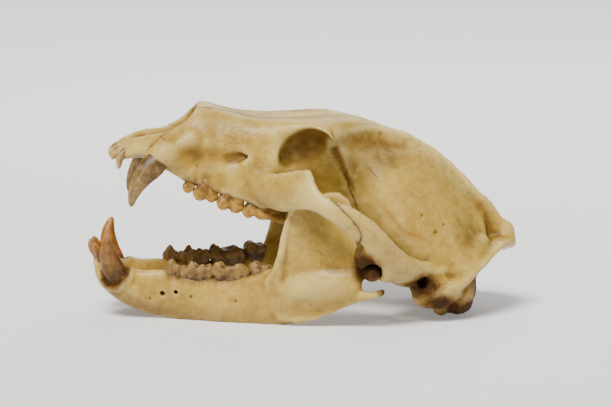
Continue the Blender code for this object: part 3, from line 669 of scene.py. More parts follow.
# Where two forms meet too sharply: path, radius, rounds of smoothing, strength.
BLENDS = [
    ([(-42, -45, 130), (-40, -47, 104)], 20, 14, 1.0),
    ([(86, -76, 56), (104, -68, 48), (124, -64, 46), (140, -60, 46)], 16, 12, 0.7),
    ([(116, -66, 50), (128, -64, 49), (140, -56, 52), (152, -42, 58)], 15, 30, 1.0),
    ([(-122, -38, 152), (-110, -41, 142)], 17, 26, 1.0),
    ([(-80, -41, 142), (-62, -41, 142)], 11, 8, 0.8),
    ([(2, -34, 146), (8, -35, 134)], 15, 16, 1.0),
    ([(176, 0, 76), (183, 0, 62)], 15, 16, 0.9),
]
# Pressed in where the height is negative: path, reach, height.
CRANIUM_HOLLOWS = [
    ([(36, -42, 154), (46, -35, 154), (58, -27, 152), (72, -19, 149), (86, -12, 144)], 12, -1.8),
    ([(27, -36, 148), (30, -36, 138), (33, -38, 128)], 6, -1.4),
    ([(32, -38, 130), (36, -39, 121), (40, -41, 113), (42, -43, 104), (46, -45, 93),
        (52, -48, 82)], 5.5, -2.8),
    ([(160, -12, 92), (164, -22, 79), (167, -33, 69)], 9, -2.2),
    ([(157, -32, 66), (149, -43, 57), (140, -52, 50), (128, -59, 46)], 12, 2.8),
    ([(-96, -37, 143), (-80, -38, 142.5), (-62, -40, 141.5)], 14, -2.6),
    ([(-66, -40, 141.5), (-56, -41, 141.5)], 8, -2.0),
    ([(-56, 0, 178), (-30, 0, 172), (0, 0, 172), (30, 0, 175)], 12, -1.0),
    ([(-30, 0, 108), (-60, 0, 118), (-100, 0, 130)], 16, 1.0),
]
# Hollows beside the occiput's crest: middle, radii, depth.
OCCIPUT_HOLLOWS = [((174, -20, 75), (17, 16, 16), 3), ((165, -30, 45), (20, 22, 18), 4)]
# Grooves that wander: path, half width, height, how rusty. The rust reaches further than the groove.
SUTURE_REACH = 5.0
SUTURES = [
    # where the cheekbone meets the temporal bone
    ([(21, -109, 113.5), (28, -111, 107), (34.4, -112, 100.6), (40.6, -112, 92.6), (43.6, -111, 85.3),
        (42.5, -110, 79)], 1.5, -1.1, 1.0),
    # the scaly seam on the braincase
    ([(48, -44, 116), (58, -50, 107), (67.5, -53, 99.6), (76, -56, 88), (83, -58, 79), (95, -60, 75),
        (108, -60, 71), (124, -58, 66)], 1.5, -0.5, 0.7),
    # between the nasals, and between nasals and upper jaw
    ([(-90, 0, 186), (-60, 0, 177), (-35, 0, 171), (-12, 0, 171)], 1.2, -0.5, 0.3),
    ([(-90, -16, 183), (-72, -15, 180.5), (-50, -12, 174), (-28, -9, 172), (-12, 0, 171)], 1.3, -0.5, 0.3),
    # the front of the upper jaw
    ([(-112, -18, 165), (-122, -25, 158), (-131, -33, 152), (-139, -34, 145)], 1.4, -0.8, 0.5),
    # the cheekbone's front seam
    ([(-22, -60, 135), (-25, -57, 124), (-30, -57, 114), (-36, -52, 106)], 1.3, -0.4, 0.3),
    # frontal and parietal
    ([(36, -40, 120), (46, -38, 134), (58, -30, 148), (68, -14, 158)], 1.3, -0.35, 0.2),
    ([(0, 0, 99), (-40, 0, 112), (-80, 0, 123), (-140, 0, 140)], 1.3, -0.5, 0.3),
    ([(60, -22, 60), (75, 0, 53), (60, 22, 60)], 1.4, -0.5, 0.3),
]
# Where blood vessels came through the bone.
CRANIUM_PITS = [
    (-46.5, -47, 142.5), (-46, -47, 139.5), (-66, -30, 171), (21, -45, 172), (33, -38, 167), (90, -72, 40),
    (-92, -37, 134), (-86, -38, 130), (-70, -39, 126), (-110, -38, 134), (62, -54, 84), (70, -56, 72),
    (112, -55, 78), (120, -50, 84), (100, -52, 92), (-120, -30, 156), (-130, -32, 150), (161, -17, 66),
]
# The foot of each swell over a cheek tooth's root, and how the swells run from there.
UPPER_ROOTS = [
    (-99, -38, 118), (-91, -38.5, 116), (-79, -39.5, 113), (-70, -40.5, 109), (-57, -42, 105), (-49, -43, 102),
    (-38, -45, 98), (-26, -46, 92),
]
UPPER_ROOT_RUN = (3, 1, 13)
LOWER_ROOTS = [(-113, -40, 37), (-103, -41, 35), (-86, -46, 33), (-75, -49, 33), (-58, -53, 34), (-44, -57, 38)]
LOWER_ROOT_RUN = (2, -1, -12)
# Patches that are pressed in or only coloured, by stains, painted shade or painted highlights: middle, radii,
# depth, stain, strength.
CRANIUM_PATCHES = [
    # the ear and the bone behind it
    ((99, -70, 34), (30, 30, 24), 0.6, "dark", 1.15),
    ((113, -62, 18), (32, 28, 20), 0, "dark", 1.1),
    ((99, -74, 36), (7, 12, 7), 3.0, "dark", 1.0),
    ((90, -72, 40), (4, 6, 4), 2.0, "dark", 1.0),
    # the occipital condyles, dark as soot and as painted shade
    ((132, -30, 4), (44, 60, 36), 0, "dark", 1.7),
    ((150, -25, 26), (36, 56, 36), 0, "dark", 1.2),
    # the joint's lip, dark as soot and as painted shade
    ((48, -94, 56), (24, 30, 26), 0, "dark", 1.6),
    # painted shade in the temple, on the side behind it and in the eye socket, then a green tint in the temple
    # and the eye socket
    ((54, -34, 146), (52, 34, 34), 0, "shade", 2.0),
    ((140, -40, 70), (40, 30, 34), 0, "shade", 0.7),
    ((4, -34, 144), (34, 26, 34), 0, "shade", 0.45),
    ((34, -42, 118), (30, 24, 50), 0, "green", 1.2),
    ((10, -34, 140), (36, 26, 36), 0, "green", 1.0),
    # the cheek arch: its pink tone, and a painted highlight on its upper part
    ((60, -104, 82), (34, 20, 34), 0, "pink", 1.0),
    ((6, -98, 114), (40, 26, 30), 0, "pale", 1.3),
]
# Stained lines, and a painted highlight along the top midline: path, reach, stain, strength.
CRANIUM_TRACES = [
    ([(-131, -43, 143), (-119, -44, 131)], 5, "dark", 0.45),
    ([(33, -38, 128), (37, -39, 120), (40, -41, 113), (42, -43, 104), (47, -45, 92)], 4.5, "moss", 1.3),
    # a painted highlight along the top midline
    ([(-84, 0, 184), (-49, 0, 173), (0, 0, 171), (35, 0, 174), (62, 0, 167), (89, 0, 158), (117, 0, 142),
      (145, 0, 116)], 30, "pale", 1.0),
]
JAW_PATCHES = [
    # the joint, dark as soot and as painted shade; then the tip of the jaw's rear corner
    ((52, -88, 52), (22, 30, 22), 0, "dark", 1.6),
    ((66, -88, 32), (14, 12, 10), 0, "dark", 1.0),
    # painted highlights on the side of the jaw
    ((-20, -74, 80), (30, 24, 36), 0, "pale", 0.4),
    ((2, -82, 34), (44, 26, 24), 0, "pale", 1.2),
    ((-10, -70, 10), (50, 24, 16), 0, "pale", 0.4),
]


def cranium():
    pieces = [loft("body", BODY)]
    for stations in (ARCH, POSTORBITAL, NUCHAL_CREST, MASTOID, GLENOID, PTERYGOID):
        pieces += twins("blade", stations, blade)
    pieces.append(blade("sagittal", SAGITTAL_CREST))
    for form in EAR_LUMPS:
        pieces += lump_twins("ear", *form)
    pieces += [lump("inion", *form) for form in INION_LUMPS]
    pieces += twins("canine_wall", CANINE_WALL, blade)
    for form in CONDYLE_LUMPS:
        pieces += lump_twins("condyle", *form)
    whole = fused("cranium_bone", pieces, CRANIUM_FIRST_GRAIN, 2)
    cutters = [loft("nose", NOSE_HOLE), loft("choana", CHOANA)]
    for start, end, radius in CRANIUM_HOLES:
        cutters.append(rod("hole", start, end, radius))
        if start[1]:
            cutters.append(rod("hole", opposite(start), opposite(end), radius))
    cutters += lump_twins("orbit", *EYE_BOWL)
    x, y, z = CONDYLE_CENTRE
    for side in (1, -1):
        ends = [(x, side * (y - CONDYLE_HALF_WIDTH - 12), z), (x, side * (y + CONDYLE_HALF_WIDTH + 2), z)]
        cutters.append(rod("fossa", *ends, FOSSA_RADIUS))
    hollowed(whole, cutters)
    reskinned(whole, CRANIUM_GRAIN, 2)

    clay = Clay(whole)
    for path, reach, height in CRANIUM_HOLLOWS:
        clay.raise_line(path, reach, height)
        clay.refresh()
    for hollow in OCCIPUT_HOLLOWS:
        clay.press(*hollow)
    clay.refresh()
    for path, radius, rounds, full in BLENDS:
        share = np.zeros(len(clay.points))
        reach, close = clay.near(path, radius)
        share[reach] = np.clip(close * 2, 0, full)
        clay.relax(rounds, 0.3, share)
    clay.refresh()
    for path, reach, height in CRANIUM_RIDGES:
        clay.raise_line(path, reach, height)
    swell_roots(clay, UPPER_ROOTS, UPPER_ROOT_RUN, 0.5)
    clay.refresh()
    clay.relax(1)
    clay.refresh()
    wander = lattice_noise(clay.folded / 3.5, seed=5, depth=2)
    for path, reach, height, rust in SUTURES:
        reached, close = clay.near(path, SUTURE_REACH)
        off = (1 - close) * SUTURE_REACH + wander[reached] * 1.1
        line = np.clip(1 - np.abs(off) / reach, 0, 1)
        clay.points[reached] += clay.normals[reached] * (height * line)[:, None]
        old = np.clip(close * 1.3, 0, 1) ** 2 * rust
        clay.stain("rust", old * (0.55 + 0.45 * wander[reached]), reached)
    for pit in CRANIUM_PITS:
        clay.raise_line([pit], 2.6, -1.8, "dark", 0.7, power=1.5)
    alveolar_stain(clay, [tooth[0] for tooth in UPPER_CHEEK_TEETH.values()], 15)
    for patch in CRANIUM_PATCHES:
        clay.press(*patch)
    for path, reach, stain, amount in CRANIUM_TRACES:
        clay.raise_line(path, reach, 0, stain, amount)
    clay.refresh()
    clay.roughen(size=3.2, height=0.55, seed=77, where=np.clip(clay.stains["dark"], 0, 1))
    texture_bone(clay, 11)
    return clay


def swell_roots(clay, feet, run, height):
    """Low swells in the bone over the roots of the cheek teeth."""
    for foot in np.array(feet, float):
        clay.raise_line([foot, foot + run], 5, height)


def ring_round(clay, middle, radius, height):
    """A raised, darkened lip round a lower canine's socket."""
    places = clay.folded - np.array(middle, float)
    far = np.linalg.norm(places, axis=1)
    lip = np.clip(1 - np.abs(far - radius) / 4.0, 0, 1)
    reach = np.flatnonzero(lip > 0)
    swell = lip[reach] ** 2 * (3 - 2 * lip[reach])
    clay.points[reach] += clay.normals[reach] * (height * swell)[:, None]
    inside = np.flatnonzero(far < radius + 3)
    clay.stain("dark", np.clip((radius + 3 - far[inside]) / 6.0, 0, 1) * 0.9, inside)


def alveolar_stain(clay, middles, radius):
    """Darker bone where the cheek teeth stand."""
    reach, close = clay.near(middles, radius)
    clay.stain("dark", np.clip(close * 1.6 - 0.35, 0, 1) * 0.9, reach)


def texture_bone(clay, seed):
    """Low swells and a coarse grain, then a painted shade on what faces down, and what lies hollow and what
    stands proud.
    """
    clay.roughen(size=24, height=0.7, seed=seed, depth=2)
    clay.roughen(size=7.0, height=0.26, seed=seed + 1)
    clay.refresh()
    facing = clay.normals[:, 2].copy()
    for _ in range(6):
        facing = clay.averaged(facing)
    # Painted shade: what faces down is marked here to be coloured darker.
    clay.stain("painted_shade_below", np.clip(0.22 - facing, 0, 1))
    hollows = clay.hollows(14)
    clay.stain("hollow", np.clip(hollows / 0.55, 0, 1))
    clay.stain("worn", np.clip(-hollows / 0.7, 0, 1))


# The jaw's own marks, in the same order as the cranium's.
JAW_RIDGES = [
    # the ridge down the front of the ramus
    ([(-12, -72, 104), (-18, -74, 96), (-20.5, -74, 76), (-22, -72, 60)], 4.5, 2.2),
    ([(-22, -72, 64), (-24, -70, 50), (-25, -68, 40), (-22, -69, 32)], 6, 1.0),
    # the swell under the muscle's hollow
    ([(-10, -78, 32), (8, -83, 33), (26, -87, 38)], 19, 1.8),
    # over the root of the lower canine
    ([(-162, -32, 36), (-152, -33, 26), (-141, -31, 20), (-130, -31, 16)], 11, 2.0),
    # the inner shelf behind the last tooth
    ([(-34, -50, 44), (-24, -56, 60), (-16, -62, 82)], 4, 1.0),
]
JAW_HOLLOWS = [
    ([(2, -80, 84), (12, -82, 72), (22, -83, 62)], 24, -2.6),
    ([(-120, -32, 14), (-96, -40, 16), (-70, -50, 17)], 12, 0.8),
    ([(44, -84, 36), (50, -84, 40)], 7, -1.0),
]
JAW_PITS = [
    (-133, -35, 19), (-136, -34, 19.5), (-98, -45, 22), (-150, -34, 18), (-158, -30, 24), (-162, -22, 24),
    (-60, -57, 20), (-30, -66, 24), (12, -80, 70), (24, -80, 60),
]


def ramus_y(x, z):
    """How far out the middle of the ramus stands: splayed at its foot, upright at its top."""
    up = min(max((z - 22) / 85, 0.0), 1.0)
    return -(69 * up + (66 + 0.27 * (x + 20)) * (1 - up))


def ramus(side):
    return [
        [(x, side * (ramus_y(x, z) + half), z) for x, z in RAMUS_OUTLINE]
        for half in (-RAMUS_THICKNESS / 2, RAMUS_THICKNESS / 2)
    ]


def lower_jaw():
    pieces = []
    for name, stations in (("body", JAW_BODY), ("angle", ANGULAR_PROCESS)):
        pieces += twins(name, stations, blade)
    pieces.append(blade("symphysis", SYMPHYSIS))
    x, y, z = CONDYLE_CENTRE
    for side in (1, -1):
        pieces.append(hooped("ramus", ramus(side)))
        outer, inner = y - CONDYLE_HALF_WIDTH, y + CONDYLE_HALF_WIDTH
        ends = [(x, side * (outer + 7), z - 1), (x - 1, side * inner, z)]
        pieces.append(rod("condyle", *ends, CONDYLE_OUTER_RADIUS, CONDYLE_INNER_RADIUS))
        pieces.append(lump("condyle_end", (x, side * (outer + 8), z - 1), CONDYLE_END_RADII))
        ends = [(x - 2, side * (y - 6), z - 1), (x - 24, side * (y - 2), z - 4)]
        pieces.append(rod("neck", *ends, NECK_RADIUS, NECK_FRONT_RADIUS))
    whole = fused("lower_jaw_bone", pieces, JAW_FIRST_GRAIN, 3)
    cutters = [rod("hole", *hole) for hole in JAW_HOLES]
    cutters += [rod("hole", opposite(start), opposite(end), radius) for start, end, radius in JAW_HOLES]
    hollowed(whole, cutters)
    reskinned(whole, JAW_GRAIN, 3)

    clay = Clay(whole)
    for path, reach, height in JAW_HOLLOWS:
        clay.raise_line(path, reach, height)
    clay.refresh()
    for path, reach, height in JAW_RIDGES:
        clay.raise_line(path, reach, height)
    swell_roots(clay, LOWER_ROOTS, LOWER_ROOT_RUN, 0.4)
    clay.refresh()
    clay.relax(1)
    for pit in JAW_PITS:
        clay.raise_line([pit], 2.4, -1.6, "dark", 0.6, power=1.5)
    ring_round(clay, LOWER_CANINE_LEFT[1][0], 14, 1.4)
    alveolar_stain(clay, [tooth[0] for tooth in LOWER_CHEEK_TEETH.values()], 16)
    clay.raise_line([(-178, 0, 50), (-166, 0, 26), (-150, 0, 13), (-134, 0, 8)], 2.2, -1.0, "dark", 0.4)
    for patch in JAW_PATCHES:
        clay.press(*patch)
    clay.refresh()
    texture_bone(clay, 31)
    return clay


# Cusps of each cheek tooth: along the row, across it from cheek to tongue, height, breadth.
CUSPS = {
    "upper_premolar_3": [(-0.1, -0.1, 1.0, 0.62)],
    "upper_premolar_4": [(-0.42, -0.4, 1.0, 0.42), (0.5, -0.4, 0.84, 0.38), (0.2, 0.5, 0.72, 0.40)],
    "upper_molar_1": [(-0.45, -0.5, 1.0, 0.36), (0.42, -0.5, 0.95, 0.36), (-0.45, 0.5, 0.72, 0.36),
        (0.5, 0.5, 0.70, 0.36), (-0.92, -0.4, 0.5, 0.2)],
    "upper_molar_2": [
        (-0.66, -0.5, 1.0, 0.27), (-0.12, -0.5, 0.82, 0.26), (-0.62, 0.5, 0.72, 0.28),
            (-0.1, 0.52, 0.62, 0.28),
        (0.32, -0.45, 0.52, 0.2), (0.62, -0.3, 0.46, 0.2), (0.35, 0.4, 0.46, 0.22), (0.7, 0.2, 0.42, 0.24),
    ],
    "lower_premolar_4": [(-0.1, 0.0, 1.0, 0.5), (0.6, 0.0, 0.5, 0.35)],
    "lower_molar_1": [(-0.78, 0.0, 0.72, 0.24), (-0.28, -0.35, 1.0, 0.27), (-0.12, 0.5, 0.86, 0.25),
        (0.32, -0.4, 0.80, 0.24), (0.66, 0.35, 0.78, 0.25), (0.72, -0.4, 0.70, 0.22)],
    "lower_molar_2": [(-0.68, -0.45, 0.98, 0.27), (-0.6, 0.48, 0.92, 0.27), (-0.1, -0.5, 0.70, 0.22),
        (0.38, -0.45, 0.86, 0.26), (0.42, 0.48, 0.80, 0.26), (0.8, 0.0, 0.66, 0.24)],
    "lower_molar_3": [(-0.45, -0.4, 0.9, 0.36), (-0.4, 0.42, 0.88, 0.36), (0.35, -0.3, 0.66, 0.34),
        (0.4, 0.35, 0.62, 0.34)],
}
# Where along its row each crown is drawn in between its lobes.
WAISTS = {
    "upper_premolar_3": (), "upper_premolar_4": (0.08,), "upper_molar_1": (-0.02,),
        "upper_molar_2": (-0.40, 0.10, 0.5),
    "lower_premolar_4": (0.35,), "lower_molar_1": (-0.52, 0.05, 0.5), "lower_molar_2": (-0.34, 0.12, 0.6),
        "lower_molar_3": (0.0,),
}
ROW_YAW = {"upper": -3.5, "lower": -12.0}
# The lowest share of a crown's height between its cusps, and how far its rings reach along the row.
CROWN_FLOOR = 0.60
CROWN_REACH = 0.555
CROWN_SQUARENESS = 0.68
CROWN_SIDES = 44
CROWN_RIM = 0.80
WAIST_DEPTH, WAIST_REACH = 0.20, 0.13
# How much the last upper molar narrows towards its heel.
HEEL_TAPER = 0.42
# Each ring's share of the crown's height, or None and how deep it lies in the bone, then its breadth.
CROWN_LEVELS = [
    (None, -11.0, 0.60), (None, -6.0, 0.74), (None, -2.0, 0.86), (0.10, 0, 0.90), (0.30, 0, 0.99),
    (0.52, 0, 1.0), (0.74, 0, 0.96), (0.92, 0, 0.87), (1.0, 0, 0.74), (1.0, 0, 0.60), (1.0, 0, 0.46),
    (1.0, 0, 0.32), (1.0, 0, 0.18), (1.0, 0, 0.06),
]


def squared(value):
    return math.copysign(abs(value) ** CROWN_SQUARENESS, value)


def cheek_crown(name, kind, tooth, side):
    """A crown drawn ring by ring from its root, with its cusps raised on the last rings."""
    jaw = kind.split("_")[0]
    centre, length, width, height = tooth
    centre = np.array(centre, float)
    axis = UPPER_CROWN_AXIS if jaw == "upper" else LOWER_CROWN_AXIS
    up = unit(np.array(axis, float))
    yaw = math.radians(ROW_YAW[jaw])
    along = np.array((math.cos(yaw), math.sin(yaw), 0.0))
    along = unit(along - up * (along @ up))
    cheek = np.cross(up, along)
    if cheek[1] > 0:
        cheek = -cheek

    def tall(u, v):
        best = CROWN_FLOOR
        for cu, cv, ch, cr in CUSPS[kind]:
            far = math.hypot((u - cu) * length / width, v - cv) / (cr * 2.1)
            best = max(best, CROWN_FLOOR + (ch - CROWN_FLOOR) * max(0.0, 1 - far * far))
        return best * height

    rings = []
    for share, depth, wide in CROWN_LEVELS:
        ring = []
        for c, s in turns(CROWN_SIDES):
            u, v = wide * squared(c), wide * squared(s)
            if kind == "upper_molar_2" and u > 0:
                v *= 1 - HEEL_TAPER * u
            waists = [math.exp(-(((u - waist) / WAIST_REACH) ** 2)) for waist in WAISTS[kind]]
            v *= 1 - sum(WAIST_DEPTH * waist for waist in waists)
            rim_u, rim_v = u * min(1, CROWN_RIM / wide), v * min(1, CROWN_RIM / wide)
            rise = depth if share is None else share * tall(rim_u, rim_v)
            place = centre + along * u * length * CROWN_REACH - cheek * v * width / 2 + up * rise
            ring.append(place * (1, side, 1))
        rings.append(ring)
    piece = soft(hooped(name, rings), 1)
    clay = Clay(piece)
    seed = sum(ord(letter) for letter in name)
    clay.roughen(size=3.0, height=0.55, seed=seed)
    clay.refresh()
    mark_tooth(clay, centre * (1, side, 1), up * (1, side, 1), height, 5)
    return clay.done()


def mark_tooth(clay, foot, up, height, rounds):
    """Where each point stands along and around the tooth, and how deep it lies."""
    places = clay.points - foot
    clay.stain("along", np.clip(places @ up / height, -1, 1) * 0.5 + 0.5)
    across = unit(np.cross(up, (0.0, 1.0, 0.0)))
    for name, direction in (("round_a", across), ("round_b", np.cross(up, across))):
        clay.stain(name, np.clip(places @ direction / 30 + 0.5, 0, 1))
    hollows = clay.hollows(rounds)
    clay.stain("hollow", np.clip(hollows / 0.28, 0, 1))
    clay.stain("worn", np.clip(-hollows / 0.45, 0, 1))


def fang(name, stations, side, seed):
    """A single-rooted tooth, a little ridged along its length."""
    piece = spike(name, stations if side > 0 else mirrored(stations))
    clay = Clay(piece)
    foot = np.array(stations[1][0], float) * (1, side, 1)
    tip = np.array(stations[-1][0], float) * (1, side, 1)
    clay.roughen(size=np.array([2.4, 2.4, 9.0]), height=0.16, seed=seed, depth=2)
    clay.refresh()
    mark_tooth(clay, foot, unit(tip - foot), np.linalg.norm(tip - foot), 6)
    return clay.done()


def teeth():
    """Every tooth with the node that it stands for and its finish."""
    made = []
    for side_name, side in (("left", 1), ("right", -1)):
        fangs = [(f"upper_{kind}", stations, 3, "upper_front") for kind, stations in UPPER_INCISORS.items()]
        fangs += [(f"lower_{kind}", stations, 4, "lower_front") for kind, stations in LOWER_INCISORS.items()]
        fangs.append(("upper_canine", UPPER_CANINE, 5 + side, "upper_canine"))
        if side > 0:
            fangs.append(("lower_canine", LOWER_CANINE_LEFT, 8 + side, "lower_canine"))
        else:
            fangs.append(("lower_canine", LOWER_CANINE_RIGHT, 8 + side, "lower_canine_amber"))
        for kind, stations, seed, finish in fangs:
            node = f"{kind}_{side_name}"
            made.append((fang(node + "_enamel", stations, side, seed), node, finish))
        for jaw, crowns in (("upper", UPPER_CHEEK_TEETH), ("lower", LOWER_CHEEK_TEETH)):
            for kind, tooth in crowns.items():
                node = f"{jaw}_{kind}_{side_name}"
                piece = cheek_crown(node + "_enamel", f"{jaw}_{kind}", tooth, side)
                made.append((piece, node, f"{jaw}_teeth"))
    return made


class Value:
    """A number that varies over the surface. Sums and products with it add Math nodes."""

    def __init__(self, paint, socket):
        self.paint, self.socket = paint, socket

    def with_(self, operation, other, turned=False):
        pair = [other, self] if turned else [self, other]
        return self.paint.node("ShaderNodeMath", {"operation": operation}, {0: pair[0], 1: pair[1]})[0]

    def __add__(self, other):
        return self.with_("ADD", other)

    def __sub__(self, other):
        return self.with_("SUBTRACT", other)

    def __rsub__(self, other):
        return self.with_("SUBTRACT", other, True)

    def __mul__(self, other):
        return self.with_("MULTIPLY", other)

    __radd__ = __add__
    __rmul__ = __mul__

    def clamped(self):
        return self.paint.node("ShaderNodeClamp", {}, {"Value": self})[0]

    def between(self, low, high):
        """0 below low, 1 above high."""
        values = {"Value": self, "From Min": low, "From Max": high}
        return self.paint.node("ShaderNodeMapRange", {"interpolation_type": "SMOOTHSTEP"}, values)[0]


class Paint:
    """One material under construction."""

    def __init__(self, name):
        self.material = bpy.data.materials.new(name)
        self.material.use_nodes = True
        self.tree = self.material.node_tree
        self.shader = self.tree.nodes["Principled BSDF"]
        self.place = self.node("ShaderNodeTexCoord", {}, {})["Object"]

    def node(self, kind, settings, values):
        made = self.tree.nodes.new(kind)
        for key, value in settings.items():
            setattr(made, key, value)
        for key, value in values.items():
            self.feed(made.inputs[key], value)
        return Outputs(self, made)

    def feed(self, socket, value):
        if isinstance(value, Value):
            self.tree.links.new(value.socket, socket)
        else:
            socket.default_value = value

    def vector(self, operation, *values, result="Vector"):
        settings = {"operation": operation}
        return self.node("ShaderNodeVectorMath", settings, dict(enumerate(values)))[result]

    def noise(self, scale, detail, roughness, place=None, distortion=0.0):
        values = {"Vector": place or self.place, "Scale": scale, "Detail": detail}
        values |= {"Roughness": roughness, "Distortion": distortion}
        return self.node("ShaderNodeTexNoise", {}, values)["Fac"]

    def shake(self, spot, scale):
        return self.node("ShaderNodeTexNoise", {}, {"Vector": spot, "Scale": scale, "Detail": 3.0})["Color"]

    def cracks(self, scale, width, stretch=None, place=None):
        """Thin lines between irregular cells: 1 on a line."""
        spot = place or self.place
        if stretch:
            spot = self.node("ShaderNodeMapping", {}, {"Vector": spot, "Scale": stretch})["Vector"]
        bent = self.vector("MULTIPLY_ADD", self.shake(spot, scale * 1.7), (0.5 / scale,) * 3, spot)
        settings = {"feature": "DISTANCE_TO_EDGE"}
        cells = self.node("ShaderNodeTexVoronoi", settings, {"Vector": bent, "Scale": scale})
        return 1 - cells["Distance"].between(0.0, width)

    def fold(self, wobble):
        """The place on the grid's left side, a little unsteady, flattened to the side and to the top."""
        spot = self.vector("MULTIPLY_ADD", self.place, (1 / MM,) * 3, (-SHIFT, 0, 0))
        moved = self.vector("MULTIPLY_ADD", self.shake(spot, 0.35), (2 * wobble,) * 3, spot)
        moved = self.vector("SUBTRACT", moved, (wobble,) * 3)
        parts = self.node("ShaderNodeSeparateXYZ", {}, {"Vector": moved})
        near = 0 - self.node("ShaderNodeMath", {"operation": "ABSOLUTE"}, {0: parts["Y"]})[0]
        spots = ((near * SEAM_DEPTH, parts["Z"]), (near, parts["Z"] * SEAM_DEPTH))
        return [self.joined(parts["X"], y, z) for y, z in spots]

    def joined(self, x, y, z):
        return self.node("ShaderNodeCombineXYZ", {}, {"X": x, "Y": y, "Z": z})["Vector"]

    def seam(self, spots, path, width, top=False):
        """A thin line along a path on the side or the top: 1 on it."""
        path = [(x, y, z * SEAM_DEPTH) if top else (x, y * SEAM_DEPTH, z) for x, y, z in path]
        nearest = None
        for start, end in zip(path[:-1], path[1:]):
            run = Vector(end) - Vector(start)
            away = self.vector("SUBTRACT", spots[top], start)
            share = self.vector("DOT_PRODUCT", away, run / run.length_squared, result="Value").clamped()
            scaled = {0: tuple(run), "Scale": share}
            foot = self.node("ShaderNodeVectorMath", {"operation": "SCALE"}, scaled)["Vector"]
            far = self.vector("DISTANCE", away, foot, result="Value")
            nearest = far if nearest is None else nearest.with_("MINIMUM", far)
        return 1 - nearest.between(width * 0.4, width)

    def mark(self, name):
        return self.node("ShaderNodeAttribute", {"attribute_name": name}, {})["Fac"]

    def layered(self, colour, layers):
        """Paints each tone over the last, by its share."""
        colour = shade(*colour)
        settings = {"data_type": "RGBA", "clamp_factor": True}
        for share, tone in layers:
            values = {"Factor": share, 6: colour, 7: shade(*tone)}
            colour = self.node("ShaderNodeMix", settings, values)[2]
        return colour

    def finish(self, colour, roughness, bump, distance, specular):
        self.feed(self.shader.inputs["Base Color"], colour)
        self.feed(self.shader.inputs["Roughness"], roughness)
        values = {"Height": bump, "Strength": 1.0, "Distance": distance}
        self.feed(self.shader.inputs["Normal"], self.node("ShaderNodeBump", {}, values)["Normal"])
        self.shader.inputs["Specular IOR Level"].default_value = specular
        return self.material


class Outputs:
    """A node's outputs, by name or number."""

    def __init__(self, paint, made):
        self.paint, self.made = paint, made

    def __getitem__(self, key):
        return Value(self.paint, self.made.outputs[key])


def shade(red, green, blue):
    """A colour given as it looks on a screen, 0 to 255."""
    linear = [((v / 255 + 0.055) / 1.055) ** 2.4 if v > 10 else v / 3294 for v in (red, green, blue)]
    return (*linear, 1.0)


def bone_finish(name, seams, scratches):
    """Old bone: patches of tone with painted highlights and painted shade, then wear, cracks, dirt, moss and
    soot, the soot partly a painted shade, each painted over the last.
    """
    paint = Paint(name)
    hollow, dark, worn = paint.mark("hollow"), paint.mark("dark"), paint.mark("worn")
    broad = paint.noise(18, 3, 0.5).between(0.36, 0.66)
    patch = paint.noise(60, 4, 0.6, distortion=0.6).between(0.40, 0.68)
    mottle = paint.noise(240, 4, 0.65)
    grain = paint.noise(1500, 3, 0.7)
    speck = paint.noise(520, 2, 0.5).between(0.63, 0.72) * paint.noise(40, 2, 0.5).between(0.5, 0.62)
    crack = paint.cracks(30, 0.008, (0.6, 1.0, 2.6)) * paint.noise(24, 2, 0.5).between(0.60, 0.70)
    umber = (1.5 * dark + 1.6 * paint.noise(130, 5, 0.7) - 1.05).clamped()
    soot_and_shade = (1.6 * dark + 2.2 * paint.noise(95, 5, 0.7) - 1.60).clamped()
    cut = 0.0
    if seams:
        unsteady, steady = paint.fold(1.6), paint.fold(0.2)
        line = sum(paint.seam(unsteady, *seam) for seam in seams)
        scratch = sum(paint.seam(steady, *mark) for mark in scratches)
        cut = (line * (0.35 + 0.9 * paint.noise(160, 2, 0.6)) + scratch * 0.8).clamped()
    colour = paint.layered((168, 133, 50), (
        (1 - broad, (192, 159, 68)),
        (patch * 0.34, (156, 120, 44)),
        (mottle.between(0.50, 0.78) * 0.45, (216, 184, 98)),
        (paint.mark("pink") * 0.60, (170, 124, 62)),
        # painted highlights along the top, on the cheek arch and on the jaw
        (paint.mark("pale") * 0.55, (226, 204, 128)),
        (paint.mark("green") * 0.60, (128, 104, 38)),
        # painted shade in the temple, behind it and in the eye socket
        ((paint.mark("shade") * (0.70 + 0.6 * patch)).clamped() * 0.90, (116, 88, 36)),
        # painted shade, darker brown on what faces down
        (paint.mark("painted_shade_below") * 0.78, (110, 80, 30)),
        (worn * 0.42, (232, 208, 134)),
        (speck * 0.6, (90, 58, 20)),
        (crack * 0.35, (84, 54, 20)),
        ((paint.mark("rust") * (0.35 + 1.1 * paint.noise(420, 3, 0.7))).clamped() * 0.85, (138, 78, 24)),
        ((hollow * (0.55 + 0.9 * mottle)).clamped() * 0.80, (98, 64, 20)),
        ((paint.mark("moss") * (0.3 + 1.2 * paint.noise(300, 4, 0.7))).clamped() * 0.9, (44, 38, 12)),
        (umber * 0.80, (130, 82, 26)),
        # soot, partly a painted shade under the skull and at the jaw joint
        (soot_and_shade * 0.93, (50, 25, 3)),
        (cut * 0.85, (70, 42, 14)),
    ))
    rough = 0.34 + 0.16 * mottle + 0.25 * dark + 0.12 * hollow - 0.05 * worn
    paint.feed(paint.shader.inputs["Coat Weight"], (0.30 - 0.30 * umber - 0.2 * hollow).clamped())
    paint.shader.inputs["Coat Roughness"].default_value = 0.32
    pores = paint.noise(900, 2, 0.6).between(0.60, 0.75)
    bump = 0.35 * grain + 1.1 * mottle - 0.7 * pores - 1.4 * crack + 0.5 * patch - 1.6 * cut
    return paint.finish(colour, rough, bump, 0.00042, 0.12)


